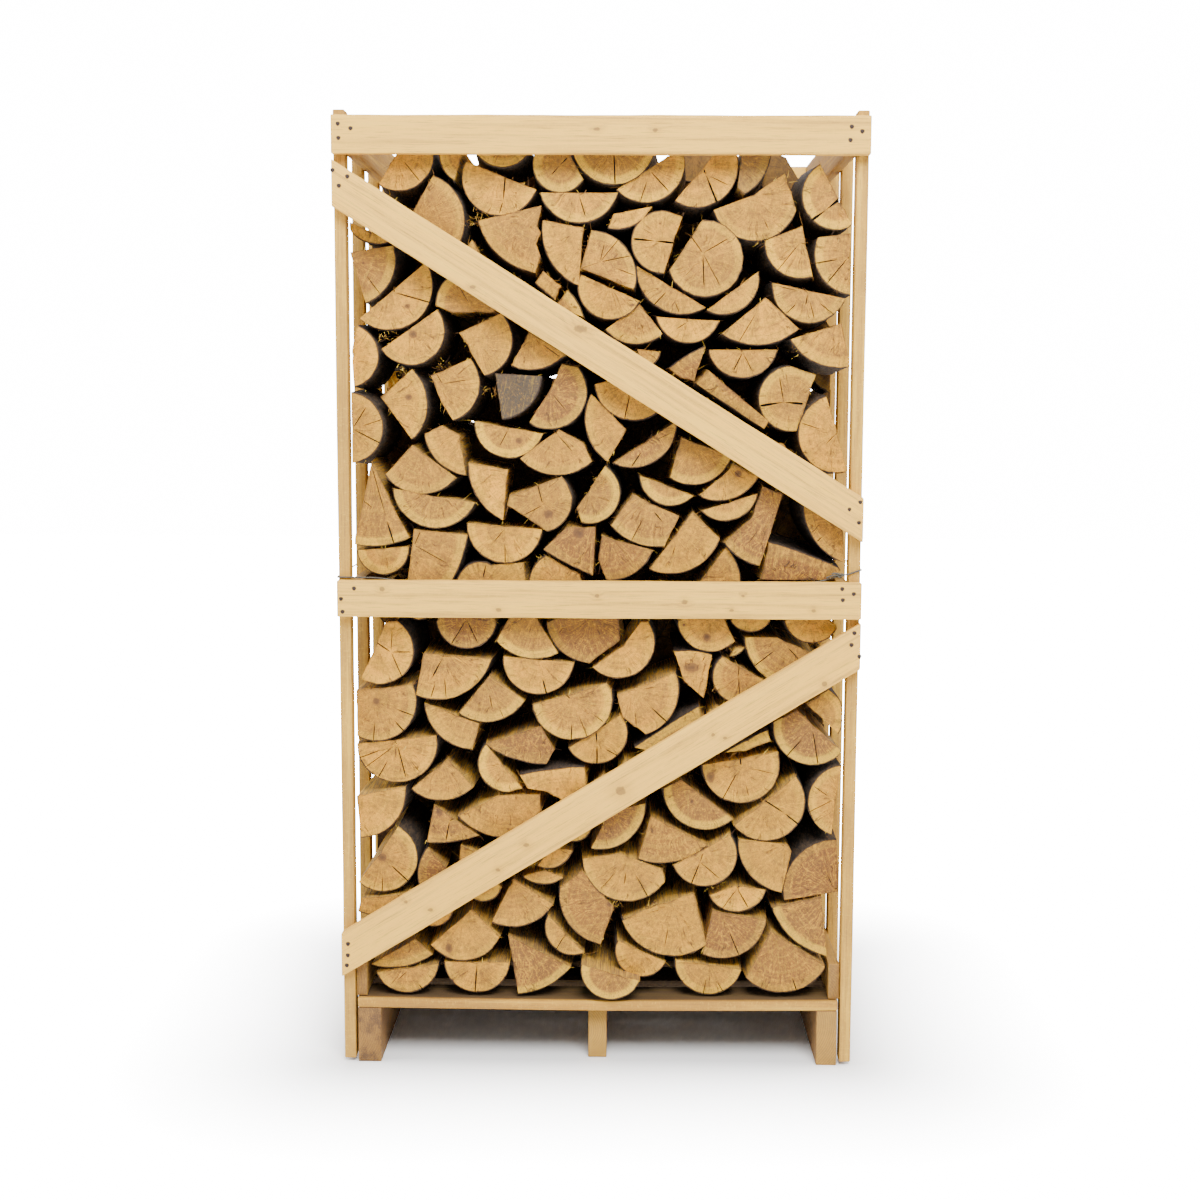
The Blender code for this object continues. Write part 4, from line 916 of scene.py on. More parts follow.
def opened_cracks(grid, share, on_face, opened):
    """The fans of logs with their cracks open, and how far open each point is. The lips of a
    crack lie on its deepest line, and part from it by the square root of the way in from
    both of its ends."""
    parent = opened[..., 0].astype(int)
    lip = (parent != np.arange(grid.shape[2]))[:, None]
    begins, stops, wide = (opened[:, None, :, entry] for entry in (1, 2, 3))
    along = share[None, :, None]
    gape = np.clip((along - begins) / CRACK_OPENS, 0, 1) * np.clip((stops - along) / CRACK_CLOSES, 0, 1)
    gape = np.where(wide > 0, np.sqrt(gape), 0.0)
    spine = np.take_along_axis(grid, np.broadcast_to(parent[:, None, :, None], grid.shape), 2)
    apart = np.hypot(*np.moveaxis(grid - spine, -1, 0)) + 1e-9
    hold = np.where(lip & on_face, np.clip((wide / 2 * gape + CRACK_LEAST) / apart, 0, 1), 1.0)
    return spine + (grid - spine) * hold[..., None], np.where(lip | ~on_face, 0.0, gape)


def roughened(place, outward, bark, on_face, on_side, give, chance):
    """Logs with an uneven surface, by slow waves of the place: bark is lumpy, splits are
    ridged along the log, hidden sides are hollow, and the sawn face is dished."""
    count = len(place)
    lump = ripple(place * (170.0, 45.0, 170.0), 5, chance, count) * 0.5 + 0.5
    ridge = ripple(place * (700.0, 9.0, 700.0), 5, chance, count) * 0.5 + 0.5
    hollow = ripple(place * (45.0, 14.0, 45.0), 4, chance, count) * 0.5 + 0.5
    furrow = np.where(bark[:, None], lump * BARK_LUMP, ridge * SPLIT_RIDGE)
    furrow = (furrow + hollow * HOLLOW * give / HIDDEN_GIVE) * on_side
    place[..., 0] -= outward[:, None, :, 0] * furrow
    place[..., 2] -= outward[:, None, :, 1] * furrow
    dish = ripple(place * (60.0, 0.0, 60.0), 4, chance, count) * DISH
    dish += ripple(place * (420.0, 0.0, 420.0), 4, chance, count) * SAW_MARKS
    place[..., 1] += (dish + DISH) * on_face
    return place


def log_pile(name, chosen, ends, grade, seed, looks, node, bare):
    """The chosen logs as one piece. Every log is a grid: its columns go round the outline,
    and its rows go out over the sawn face, along the sides and in again at the far end.
    A log of an outer row grows thicker towards its hidden end, so that the pile closes."""
    chance = np.random.default_rng(seed)
    count = len(chosen)
    outline, bark, heart, size, middle, opened, near, far = (
        np.stack([ends[number][entry] for number in chosen]) for entry in range(8))
    columns = outline.shape[1]
    cap = np.array(CAP_STEPS[grade])
    side = np.array(SIDE_STEPS[grade])
    share = np.concatenate([[0.0], cap, [0.985, 1.0], np.ones(len(side)), [1.0, 0.97, 0.5, 0.0]])
    rows = len(share)
    inward = len(cap) + 2
    length = (far - near)[:, None]
    depth = np.zeros((count, rows))
    depth[:, inward] = EDGE_ROUND
    depth[:, inward + 1:inward + 1 + len(side)] = side * length / LOG_LENGTH
    depth[:, inward + 1 + len(side)] = length[:, 0] - EDGE_ROUND
    depth[:, -3:] = length
    ragged = chance.exponential(SPLIT_RAGGED, (count, columns)) * ~bark
    ragged = ragged + chance.exponential(BARK_RAGGED, (count, columns))
    ragged = (ragged + np.roll(ragged, 1, 1)) * 0.6
    flat = outline - middle[:, None]
    outward = flat / np.hypot(flat[..., 0], flat[..., 1])[..., None]
    flat = flat - outward * ragged[..., None]
    from_edge = (1 - share)[None, :, None] * np.hypot(flat[..., 0], flat[..., 1])[:, None]
    grid = middle[:, None, None] + share[None, :, None, None] * flat[:, None]
    row = np.arange(rows)[None, :, None]
    on_face = row < inward
    on_side = (row >= inward) & (row < inward + 2 + len(side))
    grid, split = opened_cracks(grid, share, on_face, opened)
    hidden = depth / length if bare == "front" else 1 - depth / length
    swell = FLARE * hidden * (bare != "none")
    grid = grid + (grid - middle[:, None, None]) * swell[:, :, None, None]
    give = END_GIVE + (HIDDEN_GIVE - END_GIVE) * (hidden if bare != "none" else np.ones((count, rows)))
    give = give[:, :, None]
    grid[..., 0] = held_in(grid[..., 0], grid[..., 1], give)
    grid[..., 1] = np.maximum(grid[..., 1], DECK_TOP + WALL_GAP)
    place = np.stack([grid[..., 0], np.broadcast_to((near[:, None] + depth)[..., None], grid.shape[:3]),
                      grid[..., 1]], -1)
    place = roughened(place, outward, bark, on_face, on_side, give, chance)
    place[..., 1] += split * CRACK_DEPTH
    from_heart = place - np.stack([heart[:, 0], near, heart[:, 1]], -1)[:, None, None]
    quads = tube_faces(count, rows, columns)
    kinds = np.zeros((count, rows - 1, columns), int)
    kinds[:, inward:-2] = np.where(bark, 1, 2)[:, None]
    tints = np.stack([LOG_TINTS[LOGS[number][0]] for number in chosen])
    tints = np.clip(tints + chance.normal(0, 1, tints.shape) * TINT_SPREAD, 0, 1)
    facts = np.stack([size, chance.uniform(0, 50, count), chance.uniform(0, 1, count)], -1)
    face = np.stack([split, from_edge, np.broadcast_to(bark[:, None], split.shape)], -1)
    piece = finish_object(name, place.reshape(-1, 3), quads.reshape(-1, 4).tolist(), looks, kinds.ravel(),
                          {"from_heart": from_heart.reshape(-1, 3), "log_face": face.reshape(-1, 3),
                           "log_tint": np.broadcast_to(tints[:, None, None], place.shape).reshape(-1, 3),
                           "log_facts": np.broadcast_to(facts[:, None, None], place.shape).reshape(-1, 3)},
                          soft_angle=50.0, weld=True)
    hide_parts(node)
    return piece


def sawn_oak(name, shade):
    """The cut end of an oak log: pale sapwood round browner heartwood, rings, fine rays,
    blotches, the saw's fuzz and scratches, thin checks, open cracks painted near-black inside
    as their shade, and a dark edge of bark. Shade is painted shade that dulls it, for the
    ends of the middle row, which lie deep in the gaps between the rows."""
    look = Finish(name)
    x, y, z = look.parts(look.attribute("from_heart"))
    size, seed, kind = look.parts(look.attribute("log_facts"))
    warm, orange, grey = look.parts(look.attribute("log_tint"))
    gape, from_edge, barked = look.parts(look.attribute("log_face"))
    plain = 1 - grey
    place = look.vector(x + seed, 0.0, z + seed)
    wobble = look.noise(place, 30.0, 3.0) - 0.5
    radius = (x * x + z * z).root() + wobble * 0.010
    angle = look.add("ShaderNodeMath", {"operation": "ARCTAN2"}, {0: z, 1: x}) + wobble * 0.4
    broad_rings = look.noise(look.vector(radius * 120.0, seed, 0.0), 1.0, 2.0, 0.6)
    fine_rings = look.noise(look.vector(radius * 280.0, seed, 3.0), 1.0, 3.0, 0.75)
    rays = look.noise(look.vector(angle * 34.0, radius * 14.0, seed), 1.0, 4.0, 0.75)
    checks = look.noise(look.vector(angle * 4.0, radius * 6.0, seed + 9.0), 1.0, 2.0, 0.5)
    breaks = look.noise(look.vector(angle * 3.0, radius * 30.0, seed + 4.0), 1.0, 2.0, 0.5)
    blotch = look.noise(place, 24.0, 5.0, 0.65)
    stain = look.noise(place, 15.0, 5.0, 0.65)
    felt = look.noise(place, 120.0, 6.0, 0.85)
    pores = look.noise(place, 330.0, 4.0, 0.8)
    swing = look.parts(look.add("ShaderNodeVectorRotate", {"rotation_type": "Y_AXIS"},
                                {"Vector": place, "Angle": seed}))
    scratch = look.noise(look.vector(swing[0] * 12.0, 0.0, swing[2] * 260.0), 1.0, 4.0, 0.7)
    wood = look.blend(blotch.rise(0.38, 0.62), paint(0.82, 0.361, 0.0149), paint(0.491, 0.232, 0.00958))
    wood = look.coats(
        wood,
        (warm * 0.9, (0.424, 0.2, 0.00823)),
        ((orange * 1.25).least(1.0), (0.175, 0.067, 0.0128)),
    )
    heart_edge = (size - radius + wobble * 0.012).rise(0.016, 0.024)
    marked = kind * kind * kind
    heartwood = heart_edge * (marked * 0.60 + 0.06) * plain
    wood = look.blend(heartwood, wood, paint(0.207, 0.0954, 0.0198))
    sapwood = (1 - heart_edge) * (marked * 0.60 + 0.12) * plain
    wood = look.coats(
        wood,
        (sapwood, (0.82, 0.5, 0.0229)),
        ((grey * 1.3).least(1.0), (0.0484, 0.0391, 0.029)),
        (broad_rings.rise(0.50, 0.60) * blotch.rise(0.42, 0.55) * 0.42 * plain, (0.207, 0.0956, 0.0185)),
        ((1 - broad_rings.rise(0.34, 0.46)) * 0.14 * plain, (0.82, 0.454, 0.0187)),
        (fine_rings.rise(0.54, 0.62) * stain.rise(0.40, 0.52) * 0.45 * plain, (0.135, 0.064, 0.018)),
        (rays.rise(0.52, 0.62) * 0.42 * plain, (0.82, 0.38, 0.0157)),
        ((1 - rays.rise(0.38, 0.48)) * 0.36 * plain, (0.12, 0.0554, 0.0132)),
        (scratch.rise(0.54, 0.66) * 0.22, (0.82, 0.491, 0.0202)),
        (stain.rise(0.56, 0.66) * 0.30, (0.133, 0.0551, 0.0135)),
        (felt.rise(0.53, 0.60) * 0.50 * (1 - grey * 0.8), (0.82, 0.397, 0.0164)),
        ((1 - felt.rise(0.40, 0.48)) * 0.50, (0.111, 0.0556, 0.0128)),
        ((1 - pores.rise(0.38, 0.45)) * 0.45, (0.0496, 0.0241, 0.00999)),
    )
    here = look.place()
    for pixel_x, pixel_y, half_width, half_height in LOG_KNOTS:
        (knot_x,), (knot_z,) = on_plane([(pixel_x, pixel_y)], LOG_SETBACK)
        off = look.move("SUBTRACT", here, (knot_x, FIRST_ROW + 0.002, knot_z))
        off = look.stretch(off, (1000 / half_width, 60.0, 1000 / half_height))
        far = look.move("LENGTH", off, output=1) + wobble * 1.2
        wood = look.coats(
            wood,
            ((1 - far.rise(0.9, 2.1)) * 0.35, (0.187, 0.0811, 0.0179)),
            ((1 - far.rise(0.75, 1.1)) * 0.75, (0.103, 0.0434, 0.0142)),
            ((1 - far.rise(0.25, 0.6)) * 0.5, (0.0462, 0.0197, 0.00811)),
        )
    line = 1 - (checks - 0.5).sum("ABSOLUTE").rise(0.002, 0.010)
    crack = line * breaks.rise(0.47, 0.56) * radius.rise(0.004, 0.016) * plain
    wood = look.coats(
        wood,
        (crack * 0.65, (0.0369, 0.0179, 0.00798)),
        # the open cracks are coloured near-black inside, as painted shade
        (gape.rise(0.02, 0.25), (0.00728, 0.0037, 0.00195)),
    )
    rim = (1 - (from_edge + wobble * 0.004).rise(0.0022, 0.0042)) * barked
    wood = look.blend(rim * 0.92, wood, paint(0.0211, 0.0104, 0.00565))
    torn = (1 - (from_edge + wobble * 0.012).rise(0.0004, 0.006)) * (1 - barked) * felt.rise(0.44, 0.52)
    wood = look.blend(torn * 0.75, wood, paint(0.0399, 0.0188, 0.00859))
    # painted shade laid over the whole end, for the middle row
    if shade:
        wood = look.blend(shade, wood, paint(0.0162, 0.00907, 0.00504))
    height = felt * 1.0 + pores * 0.4 + scratch * 0.4 + fine_rings * 0.3 - crack * 1.6 + rays * 0.3
    return look.wear(wood, 0.88 - pores * 0.1, look.relief(height, 0.8, 0.0016))


def oak_bark():
    """Oak bark: long broken furrows along the log, grey on the ridges, dark between."""
    look = Finish("oak bark")
    x, y, z = look.parts(look.attribute("from_heart"))
    size, seed, kind = look.parts(look.attribute("log_facts"))
    along = look.vector(x * 150.0 + seed, y * 34.0, z * 150.0)
    plates = look.noise(along, 1.0, 5.0, 0.65)
    chips = look.noise(look.vector(x * 420.0, y * 190.0 + seed, z * 420.0), 1.0, 4.0, 0.7)
    moss = look.noise(look.vector(x * 22.0, y * 14.0 + seed, z * 22.0), 1.0, 4.0, 0.6)
    bark = look.blend(plates.rise(0.42, 0.58), paint(0.0145, 0.00782, 0.00375), paint(0.0601, 0.0356, 0.0166))
    bark = look.coats(
        bark,
        (chips.rise(0.50, 0.66) * 0.6, (0.0847, 0.052, 0.0248)),
        (moss.rise(0.52, 0.70) * 0.5, (0.043, 0.023, 0.0113)),
    )
    height = plates * 1.4 + chips * 0.5
    return look.wear(bark, 0.92 - chips * 0.08, look.relief(height, 0.9, 0.0022))


def split_oak():
    """The face left by the axe: long torn fibres along the log, tan to brown, with pale
    ones that stand up, dark patches painted as the shade of hollows where a strip came away,
    and a grey-brown weathering."""
    look = Finish("split oak")
    x, y, z = look.parts(look.attribute("from_heart"))
    size, seed, kind = look.parts(look.attribute("log_facts"))
    warm, orange, grey = look.parts(look.attribute("log_tint"))
    fibre = look.noise(look.vector(x * 520.0 + seed, y * 10.0, z * 520.0), 1.0, 6.0, 0.8)
    strip = look.noise(look.vector(x * 150.0, y * 7.0 + seed, z * 150.0), 1.0, 5.0, 0.7)
    torn = look.noise(look.vector(x * 300.0, y * 36.0, z * 300.0 + seed), 1.0, 5.0, 0.75)
    weather = look.noise(look.vector(x * 14.0 + seed, y * 9.0, z * 14.0), 1.0, 4.0, 0.6)
    wood = look.blend(strip.rise(0.38, 0.62), paint(0.714, 0.389, 0.0352), paint(0.296, 0.158, 0.0393))
    wood = look.coats(
        wood,
        (orange * 0.5 + warm * 0.1, (0.18, 0.0797, 0.0244)),
        (weather.rise(0.42, 0.62) * (kind * 0.3 + 0.15), (0.115, 0.0747, 0.0388)),
        (grey * 0.8, (0.0619, 0.0473, 0.0326)),
        (fibre.rise(0.51, 0.60) * 0.50, (0.82, 0.417, 0.0172)),
        ((1 - fibre.rise(0.38, 0.48)) * 0.50, (0.0644, 0.0327, 0.0135)),
        # painted shade of hollows where a strip came away
        (torn.rise(0.56, 0.64) * 0.38, (0.0547, 0.0275, 0.012)),
    )
    height = fibre * 1.2 + strip * 0.8 + torn * 0.6
    return look.wear(wood, 0.84 - torn * 0.08, look.relief(height, 0.9, 0.0022))


LOG_LOOKS = (sawn_oak("sawn oak end", 0.0), oak_bark(), split_oak())
# The middle row's sawn ends are painted in shade, as they lie deep in the gaps behind the front row.
SHADED_LOOKS = (sawn_oak("oak end in painted shade", 0.75), *LOG_LOOKS[1:])


def turned_over(entry):
    """A log end as its mirror image in X, its outline still going round the same way."""
    outline, bark, heart, size, middle, opened, near, far = entry
    flip = np.array([-1.0, 1.0])
    back = opened[::-1].copy()
    back[:, 0] = len(outline) - 1 - back[:, 0]
    return outline[::-1] * flip, np.roll(bark[::-1], -1), heart * flip, size, middle * flip, back, near, far


splits = [(np.array([xs[0], zs[0]]), np.array([xs[1], zs[1]]), wide * CRACK_WIDE / 10000) for xs, zs, wide in
          ((*on_plane([crack[:2], crack[2:4]], LOG_SETBACK), crack[4]) for crack in CRACKS)]
middles = np.stack(on_plane(FAN_MIDDLES, LOG_SETBACK), 1)
ROWS = {"front": (3, 0, 48, "fine"), "middle": (5, 1, 24, "plain"), "back": (8, 2, 40, "fine")}
LAYERS = (0.0, 0.72, 1.30, 9.0)   # each row is three pieces, split at these heights
LOOSE_LOGS = 1.7515         # logs of the front row that lie wholly above this are loose
bare_ends = {}
for row, (seed, place_back, columns, grade) in ROWS.items():
    pushed_by = np.random.default_rng(seed)
    near_row = FIRST_ROW + place_back * ROW_PITCH
    ends = []
    for tint, *marks in LOGS:
        pushed = float(pushed_by.uniform(-END_SPREAD, END_SPREAD))
        pulled = marks[0] == PULLED_OUT and row == "front"
        setback = PULLED_OUT_SETBACK if pulled else LOG_SETBACK
        xs, zs = on_plane(marks, setback)
        spread = LOG_SPREAD
        if row == "middle" and zs.max() < OPEN_COURSES:
            spread = PACKED if abs(xs).max() < SIDE_OF_PILE else PACKED_AT_SIDE
        outline, bark, heart, size, middle, opened = log_end(
            marks, setback, columns, spread, splits if row != "middle" else (), middles)
        near = FRONT_OF_POSTS + setback if pulled else near_row + max(LEAST_PUSH, pushed)
        far = near_row + LOG_LENGTH - ROW_GAP + min(MOST_PUSH, pushed)
        ends.append((outline, bark, heart, size, middle, opened, near, far))
    ends = [turned_over(entry) if row == "middle" else entry for entry in ends]
    bare = "none" if row == "middle" else row
    if bare != "none":
        bare_ends[row] = ends
    heights = np.array([entry[0][:, 1].min() for entry in ends])
    loose = heights > (LOOSE_LOGS if row == "front" else np.inf)
    for layer in range(3):
        chosen = np.flatnonzero((heights >= LAYERS[layer]) & (heights < LAYERS[layer + 1]) & ~loose)
        log_pile(f"{row}_logs_{layer + 1}", chosen, ends, grade, seed + layer,
                 SHADED_LOOKS if row == "middle" else LOG_LOOKS, f"logs_{row}_row", bare)
    for number, log in enumerate(np.flatnonzero(loose), 1):
        log_pile(f"top_oak_{number:02d}", [log], ends, grade, seed + 20 + number, LOG_LOOKS,
                 f"top_log_{number:02d}", bare)


# Splinters and torn fibres. Where the axe went in, the edges of the sawn ends are frayed:
# short slivers stand off them, pale or brown, thickest at a few spots of the front.
FRAYED = [(478, 215), (565, 228), (385, 335), (440, 365), (490, 390), (615, 905), (715, 885), (765, 240),
          (403, 372), (728, 648), (545, 560), (430, 595), (700, 400), (800, 350), (530, 905), (470, 222),
          (452, 905), (655, 905), (715, 690), (540, 640), (600, 480), (395, 745)]
SPLINTERS = {"front": 9, "back": 6}
FRAYED_SPLINTERS = 26
FRAYED_REACH = 0.020
SLIVER = np.array([(0.0, 1.0), (0.35, 0.85), (0.7, 0.55), (1.0, 0.06)])   # share of length, of width


def slivers(name, base, way, bend, length, width, shade):
    """Thin tapering slivers: from its base each runs along a way, bends aside with the
    square of the distance, and has a square cross-section that narrows to its tip."""
    share = SLIVER[:, 0][None, :, None]
    line = base[:, None] + way[:, None] * share * length[:, None, None]
    line = line + bend[:, None] * share ** 2 * length[:, None, None] * 0.5
    first = np.cross(way, (0.31, 0.22, 0.93))
    first /= np.sqrt((first ** 2).sum(1))[:, None]
    second = np.cross(way, first)
    corners = np.stack([first, second * 0.5, -first, -second * 0.5], 1)
    half = SLIVER[:, 1][None, :, None, None] * width[:, None, None, None] / 2
    points = line[:, :, None] + corners[:, None] * half
    count, rows = points.shape[:2]
    start = np.arange(count)[:, None] * rows * 4
    first_lid = start + np.array([3, 2, 1, 0])
    last_lid = start + (rows - 1) * 4 + np.arange(4)
    faces = np.concatenate([tube_faces(count, rows, 4).reshape(-1, 4), first_lid, last_lid]).tolist()
    shades = np.repeat(shade, rows * 4)
    piece = finish_object(name, points.reshape(-1, 3), faces, [sliver_wood], values={"sliver_shade": shades})


def sliver_finish():
    """Torn oak fibre, from nearly white through tan to brown."""
    look = Finish("torn oak fibre")
    shade = look.attribute("sliver_shade", "Fac")
    streak = look.noise(look.place(), 700.0, 3.0, 0.6)
    wood = look.blend(shade.rise(0.0, 0.5), paint(0.82, 0.554, 0.0749), paint(0.309, 0.137, 0.0188))
    wood = look.coats(
        wood,
        (shade.rise(0.45, 1.0), (0.0342, 0.0151, 0.00741)),
        (streak.rise(0.45, 0.6) * 0.4, (0.0666, 0.0327, 0.0134)),
    )
    return look.wear(wood, 0.85 - streak * 0.1)


sliver_wood = sliver_finish()
for row, number in SPLINTERS.items():
    chance = np.random.default_rng(40 + number)
    outline, bark, middle, near, far = (
        np.stack([log[entry] for log in bare_ends[row]]) for entry in (0, 1, 4, 6, 7))
    places = np.argsort(chance.uniform(0, 1, bark.shape) + bark * 2.0, 1)[:, :number]
    at = np.take_along_axis(outline, places[..., None], 1)
    away = at - middle[:, None]
    away /= np.hypot(away[..., 0], away[..., 1])[..., None]
    face_y, out_y = (near, -1.0) if row == "front" else (far, 1.0)
    root_y = np.broadcast_to(face_y[:, None] - out_y * 0.001, places.shape)
    base = np.stack([at[..., 0], root_y, at[..., 1]], -1)
    way = np.stack([away[..., 0], np.full(places.shape, 0.0), away[..., 1]], -1)
    base, way = base.reshape(-1, 3), way.reshape(-1, 3)
    if row == "front":
        spot_x, spot_z = on_plane(FRAYED, LOG_SETBACK)
        spots = np.stack([spot_x, np.full(len(FRAYED), face_y.mean() + 0.004), spot_z], 1)
        spots = np.repeat(spots, FRAYED_SPLINTERS, 0)
        spread = chance.normal(0, FRAYED_REACH / 2, spots.shape) * (1.0, 0.15, 0.6)
        base = np.concatenate([base, spots + spread])
        way = np.concatenate([way, chance.normal(0, 1, spots.shape)])
    way = way + chance.normal(0, 0.55, way.shape) * (1.0, 0.5, 1.0) + (0.0, out_y * 0.25, 0.0)
    way /= np.sqrt((way ** 2).sum(1))[:, None]
    count = len(base)
    base[:, 2] = np.maximum(base[:, 2], DECK_TOP + 0.012)
    base[:, 0] = np.clip(base[:, 0], -0.500, 0.500)
    bend = chance.normal(0, 0.5, way.shape)
    length = chance.gamma(2.2, 0.0030, count) + 0.003
    width = chance.uniform(0.0008, 0.0022, count)
    slivers(f"{row}_splinters", base, way, bend, length, width, chance.uniform(0, 1, count))


# The front and back rails. A board across the top and one at half height, on each face,
# hold the posts apart. They are fresh sawn pine with knots, nailed through at both ends.
BOARD_FRONT = 0.0253        # from the front of the posts to the front of the boards
RAIL_KNOTS = [              # place in pixels, half width and half height in millimetres
    (597, 129, 7, 4), (655, 130, 6, 4), (382, 589, 6, 5), (498.6, 610, 6, 4), (597, 596, 5, 4),
    (684.7, 602, 7, 5), (813.8, 611, 5, 4), (743, 596, 4, 3), (731.6, 610.5, 5, 3),
]
BRACE_KNOTS = [
    (580, 329, 14, 8), (473, 287, 7, 4), (620.6, 791, 11, 10), (824.4, 684, 6, 6), (713, 735, 4, 4),
    (725, 738, 5, 3), (405.7, 902, 5, 4), (430.5, 910, 6, 4), (526, 845, 7, 5), (498, 870, 5, 4),
]


def knot_places(marks):
    """Knots on the front boards, in metres, and the same on the back boards."""
    places = np.stack(on_plane([mark[:2] for mark in marks], -BOARD_FRONT), 1).tolist()
    return [(x, y, z, wide / 1000, high / 1000)
            for y in (FRONT_OF_POSTS - BOARD_FRONT, BACK_OF_POSTS + BOARD_FRONT)
            for (x, z), (_, _, wide, high) in zip(places, marks)]


rail_pine = pine("rail pine", (0.82, 0.467, 0.0658), (0.807, 0.461, 0.0615), knot_places(RAIL_KNOTS))
for face, seed in (("front", 60), ("back", 70)):
    for level in ("top", "middle"):
        seed += 1
        sawn_board(f"{face}_board_{level}", f"{face}_rail_{level}", rail_pine, seed, (1, 0, 0), (0, 0, 1))


# The braces. One board slants down to the right in the upper half of each face and one
# slants up to the right in the lower half, their ends cut upright, flush with the posts.
brace_pine = pine("brace pine", (0.82, 0.46, 0.0654), (0.82, 0.456, 0.0557), knot_places(BRACE_KNOTS))
BRACES = {"upper": ((1.9560, 1.8610), (1.2590, 1.1600)), "lower": ((0.3010, 0.2010), (0.9890, 0.8890))}
for face, seed in (("front", 80), ("back", 90)):
    for level, (left, right) in BRACES.items():
        seed += 1
        low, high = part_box(f"{face}_brace_{level}")
        run = high[0] - low[0]
        fall = (sum(right) - sum(left)) / 2
        tilt = math.atan2(fall, run)
        wide = (left[0] - left[1] + right[0] - right[1]) / 2 * math.cos(tilt)
        sawn_board(f"{face}_slant_{level}", f"{face}_brace_{level}", brace_pine, seed,
                   (math.cos(tilt), 0, math.sin(tilt)), (-math.sin(tilt), 0, math.cos(tilt)),
                   size=(run / math.cos(tilt), wide), slant=math.tan(tilt))


# The nails. Dark steel heads, driven in by hand, hold the rails and braces to the posts and
# the posts to the side rails. Those in front are where the picture shows them, each with a
# rim of bruised wood that is painted dark also as the shadow of its dent, and the back is
# nailed in the same places.
NAIL_MARKS = [
    (337.6, 123.6), (350.4, 128.2), (338.3, 137.8), (852.0, 126.6), (862.5, 131.2), (850.6, 140.0),
    (332.3, 170.0), (347.2, 176.3), (338.7, 185.6), (860.2, 502.5), (859.0, 523.0), (849.2, 509.5),
    (354.0, 588.4), (340.9, 599.0), (342.4, 611.8), (842.3, 589.0), (853.8, 594.0), (842.9, 600.2),
    (854.5, 633.2), (851.5, 645.1), (859.5, 656.6), (348.0, 944.0), (347.8, 955.4), (346.8, 965.4),
]
# From a head's middle outwards: the distance from its axis and the height over the board.
NAIL_PROFILE = ((0.0, -0.00002), (0.0022, -0.00004), (0.0033, -0.00015), (0.0036, -0.00035),
                (0.0037, -0.00045), (0.0044, -0.00040), (0.0049, -0.00080), (0.0050, -0.00250))
NAIL_HEAD_RINGS = 3         # the rings of the profile that are steel, the rest being bruised wood, painted dark also as the shadow of the dent
NAIL_SIDES = 14
NAIL_TURN = 0.25
POST_FACE = 0.045
POST_OUTER = 0.560


def steel_nail():
    """Nail steel gone dull and brown in the open."""
    look = Finish("weathered nail")
    rust = look.noise(look.place(), 900.0, 4.0, 0.7)
    wood = look.blend(rust.rise(0.42, 0.58), paint(0.0249, 0.0187, 0.014), paint(0.0368, 0.0187, 0.00979))
    look.shader.inputs["Metallic"].default_value = 0.35
    return look.wear(wood, 0.55 + rust * 0.2, look.relief(rust, 0.5, 0.0003))


def bruised_wood_with_shadow():
    """Wood crushed and stained round a nail's head, painted darker also as the shadow in its dent."""
    look = Finish("bruised wood with painted shadow")
    crumbs = look.noise(look.place(), 1400.0, 4.0, 0.7)
    wood = look.blend(crumbs.rise(0.40, 0.60), paint(0.0563, 0.0313, 0.015), paint(0.156, 0.0857, 0.031))
    return look.wear(wood, 0.9, look.relief(crumbs, 0.6, 0.0004))


front_x, front_z = on_plane(NAIL_MARKS, -BOARD_FRONT)
front_y = np.full(len(front_x), FRONT_OF_POSTS - BOARD_FRONT)
post_y = np.linspace(FRONT_OF_POSTS, BACK_OF_POSTS - POST_FACE, 4) + POST_FACE / 2
side_y, side_z = (grid.ravel() for grid in np.meshgrid(post_y, [sum(span) / 2 for span in RAIL_HEIGHTS]))
side_y = np.concatenate([side_y - 0.008, side_y + 0.009])
side_z = np.concatenate([side_z + 0.018, side_z - 0.017])
chance = np.random.default_rng(31)
side_y = side_y + chance.normal(0, 0.0025, side_y.size)
side_z = side_z + chance.normal(0, 0.0030, side_z.size)
side_x = np.full(side_y.size, POST_OUTER)
heads = np.concatenate([
    np.stack([front_x, front_y, front_z], 1), np.stack([front_x, -front_y, front_z], 1),
    np.stack([side_x, side_y, side_z], 1), np.stack([-side_x, side_y, side_z], 1),
])
outward = np.repeat([(0, -1, 0), (0, 1, 0), (1, 0, 0), (-1, 0, 0)],
                    [len(front_x), len(front_x), len(side_x), len(side_x)], axis=0).astype(float)
upward = np.array((0.0, 0.0, 1.0))
sideways = np.cross(upward, outward)
profile = np.array(NAIL_PROFILE)
turn = np.arange(NAIL_SIDES) * math.tau / NAIL_SIDES
tilt = chance.normal(0, 0.03, (len(heads), 2))
radius = profile[1:, 0][None, :, None] * (1 + 0.06 * np.sin(3 * turn + NAIL_TURN))[None, None]
flat_a = radius * np.cos(turn)
flat_b = radius * np.sin(turn)
rise = profile[1:, 1][None, :, None] + flat_a * tilt[:, 0, None, None] + flat_b * tilt[:, 1, None, None]
rise = np.minimum(rise, profile[0, 1])
rings = (heads[:, None, None] + flat_a[..., None] * sideways[:, None, None]
         + flat_b[..., None] * upward + rise[..., None] * outward[:, None, None])
tips = heads + profile[0, 1] * outward
points = np.concatenate([tips[:, None], rings.reshape(len(heads), -1, 3)], 1)
count = points.shape[1]
walls = outside_in(tube_faces(1, len(profile) - 1, NAIL_SIDES)).reshape(-1, 4) + 1
this = np.arange(NAIL_SIDES)
lids = np.stack([np.zeros(NAIL_SIDES, int), 1 + this, 1 + (this + 1) % NAIL_SIDES], -1)
offsets = np.arange(len(heads))[:, None, None] * count
